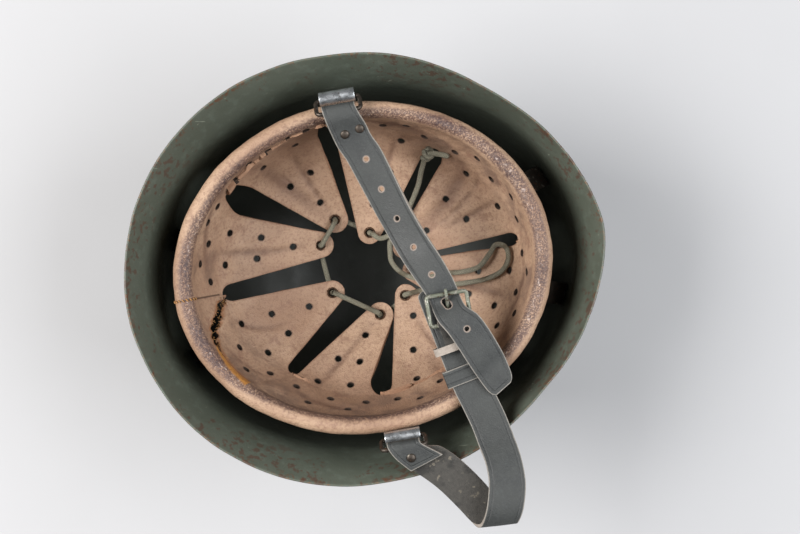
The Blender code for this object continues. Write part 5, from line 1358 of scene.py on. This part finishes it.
def strap_sheet(frames, seed):
    """Points of a strap, across its width at every frame and a little uneven, and each point's
    distance from the nearest edge or end."""
    middle, wide, normal, half = frames
    share = np.linspace(-1, 1, STRAP_COLUMNS)[None, :, None]
    points = middle[:, None] + wide[:, None] * share * half[:, None, None]
    waves = 0.00016 * ripple(points, 40, seed)
    points = points + normal[:, None] * waves[..., None]
    edge = (1 - np.abs(share[..., 0])) * half[:, None]
    ends = np.minimum(walked(middle), walked(middle[::-1])[::-1])[:, None]
    return points.reshape(-1, 3), np.minimum(edge, ends).ravel()


# %% Rivet seats
def strap_over(frames, spots, x, y):
    """Point of a strap's layer over a plan point, and the upward direction square to it there."""
    middle, _, normal, _ = frames
    near = spots[np.argmin(np.hypot(middle[spots, 0] - x, middle[spots, 1] - y))]
    up = normal[near] * np.sign(normal[near, 2])
    height = middle[near, 2] - ((x - middle[near, 0]) * up[0] + (y - middle[near, 1]) * up[1]) / up[2]
    return np.array((x, y, height)), up


def rivet_seats(frames, bar, offsets):
    """Upper and lower place, and direction, of rivets through the two layers behind a ring's bar."""
    middle = frames[0]
    near_bar = np.abs(middle[:, 1] - bar[1]) < 0.006
    fold = int(np.argmax(np.where(near_bar, middle[:, 1], -9)))
    layers = [np.arange(0, fold), np.arange(fold, len(middle))]
    heights = [strap_over(frames, layer, bar[0], bar[1] - 0.006)[0][2] for layer in layers]
    low_layer, top_layer = (layers[i] for i in np.argsort(heights))
    seats = []
    for along, across in offsets:
        top, up = strap_over(frames, top_layer, bar[0] + along, bar[1] + across)
        low, _ = strap_over(frames, low_layer, bar[0] + along, bar[1] + across)
        seats.append((top, top - up * (top[2] - low[2]) * up[2], up))
    return seats


# %% Strap rivets and holes
RIVET_RADIUS = 0.0014
long_frames = strap_frames(LONG_STRAP)
short_frames = strap_frames(SHORT_STRAP)
far_seats = rivet_seats(long_frames, FAR_BAR, ((0.001, -0.0130), (0.0100, -0.0112)))
near_seats = rivet_seats(short_frames, NEAR_BAR, ((0.0030, -0.0062), (0.0125, -0.0042)))

# Holes of the long strap, even steps from the one that the prong pulls long
distance = walked(long_frames[0])
beyond = np.arange(len(distance)) > len(distance) // 5
start = np.interp(-PIERCED[1], -long_frames[0][beyond, 1], distance[beyond])
hole_distances = [start - k * STRAP_HOLE_PITCH for k in range(-1, 6)]
hole_centres = np.stack([np.interp(hole_distances, distance, column) for column in long_frames[0].T], axis=1)


# %% Strap pieces
def make_strap(name, frames, holes, finishes, seed):
    """Strap sheet with its holes punched, given its wall and finishes for its two sides and rim."""
    points, edge = strap_sheet(frames, seed)
    faces = grid_faces(len(frames[0]), STRAP_COLUMNS)[:, ::-1]
    hole_gap = np.full(len(points), FAR_AWAY)
    for centre, radius, half_length, along in holes:
        faces = punch(points, faces, centre, radius, half_length, along)
        offset = points - centre
        run = np.clip(offset @ along, -half_length, half_length)
        gap = np.linalg.norm(offset - run[:, None] * along, axis=1) - radius
        hole_gap = np.minimum(hole_gap, np.maximum(gap, 0))
    piece = make_piece(name, points, faces, finishes, values={"edge": edge, "hole": hole_gap})
    give_wall(piece, STRAP_WALL, offset=0.0, back=1, rim=2)
    soften_edges(piece, 0.00035, 55)
    settle(piece, sharp=50)
    wear(piece, "strap_leather", name)


NO_RUN = np.zeros(3)


def rivet_holes(seats):
    """Round holes for rivets in the upper and the lower layer."""
    return [(place, RIVET_RADIUS, 0.0, NO_RUN) for top, low, _ in seats for place in (top, low)]


# The second hole is the one that the prong has pulled long
prong_run = unit(hole_centres[0] - hole_centres[1])
long_holes = [(centre, STRAP_HOLE, 0.0, NO_RUN) for i, centre in enumerate(hole_centres) if i != 1]
long_holes += [(hole_centres[1], 0.0021, 0.0019, prong_run), *rivet_holes(far_seats)]
short_holes = rivet_holes(near_seats)
skins = [strap_skin, strap_back, strap_edge]
make_strap("strap_long", long_frames, long_holes, skins, 21)
make_strap("strap_short", short_frames, short_holes, skins, 22)

# %% [markdown]
# ## Keepers and chape
# Two leather loops hold the free end of the long strap, and a folded leather chape holds the
# buckle. Each is a short side view carried across its width. The narrow keeper is worn down to the
# leather's light colour; the wide one has the strap's own finish.


# %% Folded leather
def bent_sheet(name, side_path, width_points, finishes, wall, closed=False, holes=()):
    """A sheet whose side view is side_path; width_points moves that path across the sheet."""
    points = (side_path[:, None] + width_points[None]).reshape(-1, 3)
    faces = grid_faces(len(side_path), len(width_points), wrap_rows=closed)
    edge = np.minimum(np.arange(len(width_points)), np.arange(len(width_points))[::-1])
    step = np.linalg.norm(width_points[1] - width_points[0])
    edges = np.tile(edge * step, len(side_path))
    for centre, radius, half_length, along in holes:
        faces = punch(points, faces, centre, radius, half_length, along)
    values = {"edge": edges, "hole": np.full(len(points), FAR_AWAY)}
    piece = make_piece(name, points, faces, finishes, values=values)
    give_wall(piece, wall, offset=0.0, back=1, rim=2)
    soften_edges(piece, wall * 0.2, 55)
    return settle(piece, sharp=50)


# %% Keepers
UP = np.array((0, 0, 1.0))


def make_keeper(name, across, top, length, finishes):
    """A loop round the short strap: flat under it, rounded at its sides, and flat over the long one."""
    middle, wide, _, _ = short_frames
    i = int(np.argmin(np.hypot(middle[:, 0] - 0.45 * LINER_HALF_WIDTH, middle[:, 1] - across)))
    centre = np.array((middle[i, 0], middle[i, 1], 0.0))
    walk = unit(np.cross(wide[i], (0, 0, 1.0)))
    reach = STRAP_WIDTH / 2 + 0.0019
    bend = STRAP_WALL / 2
    path = np.array((
        (reach, SHORT_LAYER - bend), (reach, SHORT_LAYER + bend), (reach - bend, top), (0.0, top),
        (bend - reach, top), (-reach, SHORT_LAYER + bend), (-reach, SHORT_LAYER - bend),
        (bend - reach, KEEPER_UNDER), (0.0, KEEPER_UNDER), (reach - bend, KEEPER_UNDER),
    ))
    loop = spread(np.vstack((path[-2:], path, path[:2])), 6)[12:-13]
    side_path = centre + wide[i] * loop[:, :1] + UP * loop[:, 1:]
    width_points = np.linspace(length / 2, -length / 2, 9)[:, None] * walk
    keeper = bent_sheet(name, side_path, width_points, finishes, KEEPER_WALL, closed=True)
    wear(keeper, "strap_leather", name)


make_keeper("keeper_1", -0.0540, KEEPER_1_TOP, 0.0045, [strap_edge, strap_back, strap_edge])
make_keeper("keeper_2", -0.0715, KEEPER_2_TOP, 0.0100, skins)

# %% Chape
# Its side view runs below the hinge, round it and back above, away from the buckle
CHAPE_END = 0.0165
CHAPE_MIDDLE = 0.0090
chape_walk = np.array((0.190, -1.0, 0.0)) * 0.982
under, over_hinge = CHAPE_UNDER - HINGE[2], CHAPE_OVER - HINGE[2]
fold_turns = np.radians(270 - 45 * np.arange(5))
chape_side = np.vstack((
    ((CHAPE_END, under), (CHAPE_MIDDLE, under)),
    CHAPE_FOLD * ray(fold_turns),
    ((0.0045, CHAPE_FOLD - 0.0004), (CHAPE_MIDDLE, over_hinge + 0.0002), (CHAPE_END, over_hinge)),
))
chape_curve = spread(chape_side, 8)
chape_path = HINGE + chape_walk * chape_curve[:, :1] + UP * chape_curve[:, 1:]
chape_width = np.linspace(-0.0075, 0.0075, 15)[:, None] * np.array((1.0, 0, 0))
slot_holes = [
    (HINGE + np.array((0, 0, lift)), 0.0017, 0.0038, (0.0, 1.0, 0.0)) for lift in (-CHAPE_FOLD, CHAPE_FOLD)
]
slot_holes.append((HINGE + np.array((-0.0004, CHAPE_FOLD, 0)), 0.0017, 0.0030, (0.0, 0.0, 1.0)))
chape = bent_sheet("buckle_chape", chape_path, chape_width, skins, CHAPE_WALL, holes=slot_holes)
wear(chape, "strap_leather", "buckle_chape")

# %% [markdown]
# ## Buckle, rings and brackets
# The buckle and the rings are bent from steel wire, so a circle is carried along their outline. The
# brackets are strips of galvanised sheet folded round the rings, their tails riveted to the liner.

# %% Metal finishes
worn_buckle = Finish("buckle_paint", 0.42, 0.35)
chip = worn_buckle.clouds(380, 4, 0.68)
buckle_tone = worn_buckle.layers(
    worn_buckle.mix(worn_buckle.clouds(120, 3), srgb(92, 96, 84), srgb(120, 122, 108)),
    (worn_buckle.ease(chip, 0.52, 0.60), srgb(150, 148, 138)),
    (worn_buckle.ease(worn_buckle.clouds(260, 3), 0.60, 0.68), srgb(84, 66, 50)),
)
buckle_finish = worn_buckle.done(
    buckle_tone, roughness=worn_buckle.ease(chip, 0.45, 0.6, 0.52, 0.30),
    normal=worn_buckle.bump(chip, 0.0002),
)

iron = Finish("dark_steel", 0.42, 0.75)
iron_cloud = iron.clouds(260, 4, 0.65)
iron_tone = iron.layers(
    iron.mix(iron_cloud, srgb(52, 46, 42), srgb(86, 78, 70)),
    (iron.ease(iron.clouds(520, 3), 0.60, 0.70), srgb(110, 72, 48)),
    (iron.ease(iron.clouds(150, 2), 0.62, 0.70), srgb(140, 134, 124)),
)
iron_finish = iron.done(
    iron_tone, roughness=iron.ease(iron_cloud, 0.3, 0.7, 0.34, 0.62), normal=iron.bump(iron_cloud, 0.0002)
)

zinc = Finish("bare_steel", 0.30, 0.9)
spangle = zinc.clouds(240, 3, 0.6)
zinc_tone = zinc.layers(
    zinc.mix(spangle, srgb(172, 176, 180), srgb(206, 210, 214)),
    (zinc.ease(zinc.clouds(420, 4, 0.7), 0.58, 0.68), srgb(120, 112, 102)),
    (zinc.ease(zinc.clouds(1.0, 2, 0.5, at=zinc.stretched((60, 900, 60))), 0.66, 0.72), srgb(226, 228, 230)),
)
zinc_finish = zinc.done(
    zinc_tone, roughness=zinc.ease(spangle, 0.3, 0.7, 0.22, 0.42), normal=zinc.bump(spangle, 0.00025)
)

bronze = Finish("dark_bronze", 0.34, 0.85)
bronze_cloud = bronze.clouds(700, 3, 0.65)
bronze_tone = bronze.mix(bronze.ease(bronze_cloud, 0.42, 0.62), srgb(82, 66, 56), srgb(146, 124, 108))
bronze_finish = bronze.done(
    bronze_tone, roughness=bronze.ease(bronze_cloud, 0.3, 0.7, 0.42, 0.26),
    normal=bronze.bump(bronze_cloud, 0.00012),
)


# %% Wire pieces
def wire_loop(first, last, half_width, corner):
    """A rectangle between two parallel bars, its corners rounded by quarter circles, in small steps."""
    leg = unit(last - first) * corner
    wide = np.array((1.0, 0, 0)) * corner
    reach = np.array((half_width, 0, 0))
    turn = np.linspace(0, np.pi / 2, 9)[:, None]
    corners = (
        (first + reach, leg, -wide), (first - reach, wide, leg),
        (last - reach, -leg, wide), (last + reach, -wide, -leg),
    )
    arcs = [at + start + end - start * np.sin(turn) - end * np.cos(turn) for at, start, end in corners]
    closed = np.vstack((*arcs, arcs[0][:1]))
    return even(closed, 0.0006)[:-1]


WIRE_SIDES = 18
buckle_path = wire_loop(TOP_BAR, HINGE, 0.01185, 0.0018)
buckle = tube("buckle_frame", buckle_path, BUCKLE_WIRE / 2, buckle_finish, WIRE_SIDES, closed=True)
wear(buckle, "buckle_paint", "buckle_frame")

# %% Prong
# It hooks round the hinge, dips under the pierced strap and lies on the other bar of the frame
PRONG_LIFT = BUCKLE_WIRE / 2 + GAP + PRONG_WIRE / 2


def beside_bar(bar, degrees):
    """Points round a bar at the prong's distance from it, at turns in degrees."""
    return [bar + np.array((0, *ray(math.radians(degree)))) * PRONG_LIFT for degree in degrees]


prong_low = SHORT_LAYER + STRAP_WALL / 2 + 2 * GAP + PRONG_WIRE / 2
prong_points = beside_bar(HINGE, range(60, 271, 30))
for shift, height in ((-0.0045, 0.0), (-0.0023, 0.0005), (0.0, 0.0015), (0.0020, 0.0031)):
    prong_points.append(np.array((HINGE[0], PIERCED[1] + shift, prong_low + height)))
prong_points += beside_bar(TOP_BAR, (140, 95))
prong_points.append(TOP_BAR + np.array((0, 0.0022, PRONG_LIFT)))
prong = tube("buckle_prong", even(spread(prong_points, 8), 0.0005), PRONG_WIRE / 2, buckle_finish, 16)
wear(prong, "buckle_paint", "buckle_prong")

# %% Rings
# A ring hangs against the inside of its bracket's fold
FOLD_RADIUS = 0.0036
BRACKET_WALL = 0.0008
RING_SEAT = FOLD_RADIUS * math.cos(math.pi / 10) - BRACKET_WALL / 2 - GAP - RING_WIRE / 2
SIDES = (("far", 1, FAR_BAR), ("near", -1, NEAR_BAR))
for side_name, side, bar in SIDES:
    fold_place = np.array((bar[0], side * BRACKET_ACROSS, BRACKET_HEIGHT))
    fold_place += unit(bar - fold_place) * RING_SEAT
    ring_path = wire_loop(fold_place, bar, 0.0130, 0.0026)
    ring = tube("ring_" + side_name, ring_path, RING_WIRE / 2, iron_finish, WIRE_SIDES, closed=True)
    wear(ring, "dark_steel", "ring_" + side_name)

# %% Brackets
BRACKET_TAIL = 0.026
for side_name, side, bar in SIDES:
    turn = np.radians(-70 + np.linspace(0, 288, 40))
    fold = FOLD_RADIUS * ray(turn)
    sheet = np.stack((side * (BRACKET_ACROSS + fold[:, 0]), BRACKET_HEIGHT + fold[:, 1]), axis=1)
    heights = RIM_HEIGHT - ROLL_DEPTH - BRACKET_TAIL * np.linspace(0, 1, 24)
    inset = TAIL_INSET * np.maximum(RIM_HEIGHT - ROLL_DEPTH - heights, 0) / TAIL_LENGTH
    tail = np.stack((side * (LINER_HALF_WIDTH - inset + 2 * GAP + BRACKET_WALL / 2), heights), axis=1)
    sheet = np.vstack((sheet, tail))
    side_path = np.column_stack((np.full(len(sheet), bar[0]), sheet))
    width_points = np.linspace(-0.0105, 0.0105, 19)[:, None] * np.array((1.0, 0, 0))
    bracket = bent_sheet("bracket_" + side_name, side_path, width_points, [zinc_finish] * 3, BRACKET_WALL)
    wear(bracket, "bare_steel", "bracket_" + side_name)

# %% [markdown]
# ## Rivets and eyelets
# Anything turned is one profile of radius and height carried round an axis. The strap's rivets are
# solid with domed heads, the vents are hollow, and the eyelets curl over both sides of the leather.


# %% Turned pieces
def lathe(name, profile, place, axis, finish, sides=32):
    """Carry a profile of (radius, height) round an axis; a profile that starts away from the axis
    closes on itself, and another gets a lid at each end."""
    profile = np.array(profile)
    side = unit(np.cross(axis, (0.31, 0.95, 0.05)))
    other = np.cross(axis, side)
    turn = (np.arange(sides) / sides * 2 * np.pi)[None, :, None]
    outward = np.cos(turn) * side + np.sin(turn) * other
    points = place + profile[:, :1, None] * outward + profile[:, 1:, None] * np.asarray(axis)
    hollow = bool(profile[0, 0] > 0.0006)
    faces = grid_faces(len(profile), sides, wrap_rows=hollow, wrap_columns=True)
    count = len(profile) * sides
    lids = () if hollow else (np.arange(sides), np.arange(count - 1, count - sides - 1, -1))
    piece = make_piece(name, points.reshape(-1, 3), faces, [finish], lids=lids)
    change = piece.modifiers.new("closed", "WELD")
    change.merge_threshold = 0.000001
    return settle(piece, sharp=45)


def dome(radius, rise, base, steps=7):
    """Profile of a low dome from its middle to its edge."""
    turn = np.linspace(0.03, np.pi / 2, steps)
    return [(radius * math.sin(t), base + rise * math.cos(t)) for t in turn]


def solid_rivet(name, top, low, up, head=0.0027, rise=0.0012, room=STRAP_WALL / 2):
    """Domed head on top, a shank through the layers and a flatter head below."""
    depth = float((top - low) @ up)
    profile = dome(head, rise, room) + [(RIVET_RADIUS, room), (RIVET_RADIUS, -depth - room)]
    profile += [(radius, -depth - room - height) for radius, height in dome(head, 0.0008, 0.0)[::-1]]
    return lathe(name, profile, top, up, iron_finish)


# %% Rivets
for prefix, seats in (("rivet_far_", far_seats), ("rivet_near_", near_seats)):
    for number, (top, low, up) in enumerate(seats, start=1):
        rivet = solid_rivet(prefix + str(number), top, low, up)
        wear(rivet, "dark_steel", prefix + str(number))


# %% Eyelets and vents
def curled(curl, barrel, depth):
    """Closed profile of a hollow rivet: the curl above, its barrel, and the same curl below."""
    below = [(radius, -depth - height) for radius, height in curl]
    return below + [(barrel, -depth), (barrel, 0.0)] + curl[::-1]


# Radius and height, from the bore over the curl to its outer edge
EYELET_CURL = [
    (0.0022, 0.0003), (0.0025, 0.0008), (0.0030, 0.0011), (0.0032, 0.0008), (0.0037, 0.0003), (0.0035, 0.0),
]
VENT_CURL = [
    (0.0022, 0.0005), (0.0024, 0.0009), (0.0030, 0.0012), (0.0050, 0.0008), (0.0057, 0.0003), (0.0056, 0.0),
]
TAB_WALL = 0.0009

eyelet_profile = curled(EYELET_CURL, EYELET_BORE + EYELET_WALL, LEATHER_WALL)
for name, place, axis in zip(TONGUE_NAMES, EYELET_PLACES, EYELET_AXES):
    eyelet = lathe("eyelet_" + name, eyelet_profile, place, axis, bronze_finish)
    wear(eyelet, "dark_bronze", "eyelet_" + name)

vent_profile = curled(VENT_CURL, VENT_TUBE, SHELL_WALL + TAB_WALL + 2 * GAP)
for number, (seat, out) in enumerate(VENT_SEATS, start=1):
    vent = lathe("vent_rivet_" + str(number), vent_profile, seat, out, zinc_finish)
    wear(vent, "bare_steel", "vent_rivet_" + str(number))

# %% [markdown]
# ## The solids that keep their shape
# The hoop, its spring tabs, the roll's core and the brackets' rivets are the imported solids
# themselves. They only get the finishes of the real ones.

# %% Kept solids
twine = Finish("core_cord", 0.95)
twine_grain = twine.clouds(1.0, 4, 0.7, at=twine.stretched((900, 900, 260)))
twine_tone = twine.mix(twine_grain, srgb(176, 120, 52), srgb(222, 168, 92))
core_finish = twine.done(twine_tone, normal=twine.bump(twine_grain, 0.0006))

kept_steel = ["liner_band", "bracket_far_rivet", "bracket_near_rivet"]
kept_steel += ["spring_tab_" + str(number) for number in range(1, 5)]
kept_finishes = {"roll_core": core_finish, **dict.fromkeys(kept_steel, iron_finish)}
for node_name, finish in kept_finishes.items():
    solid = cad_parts[node_name]
    solid.data.materials.clear()
    solid.data.materials.append(finish)
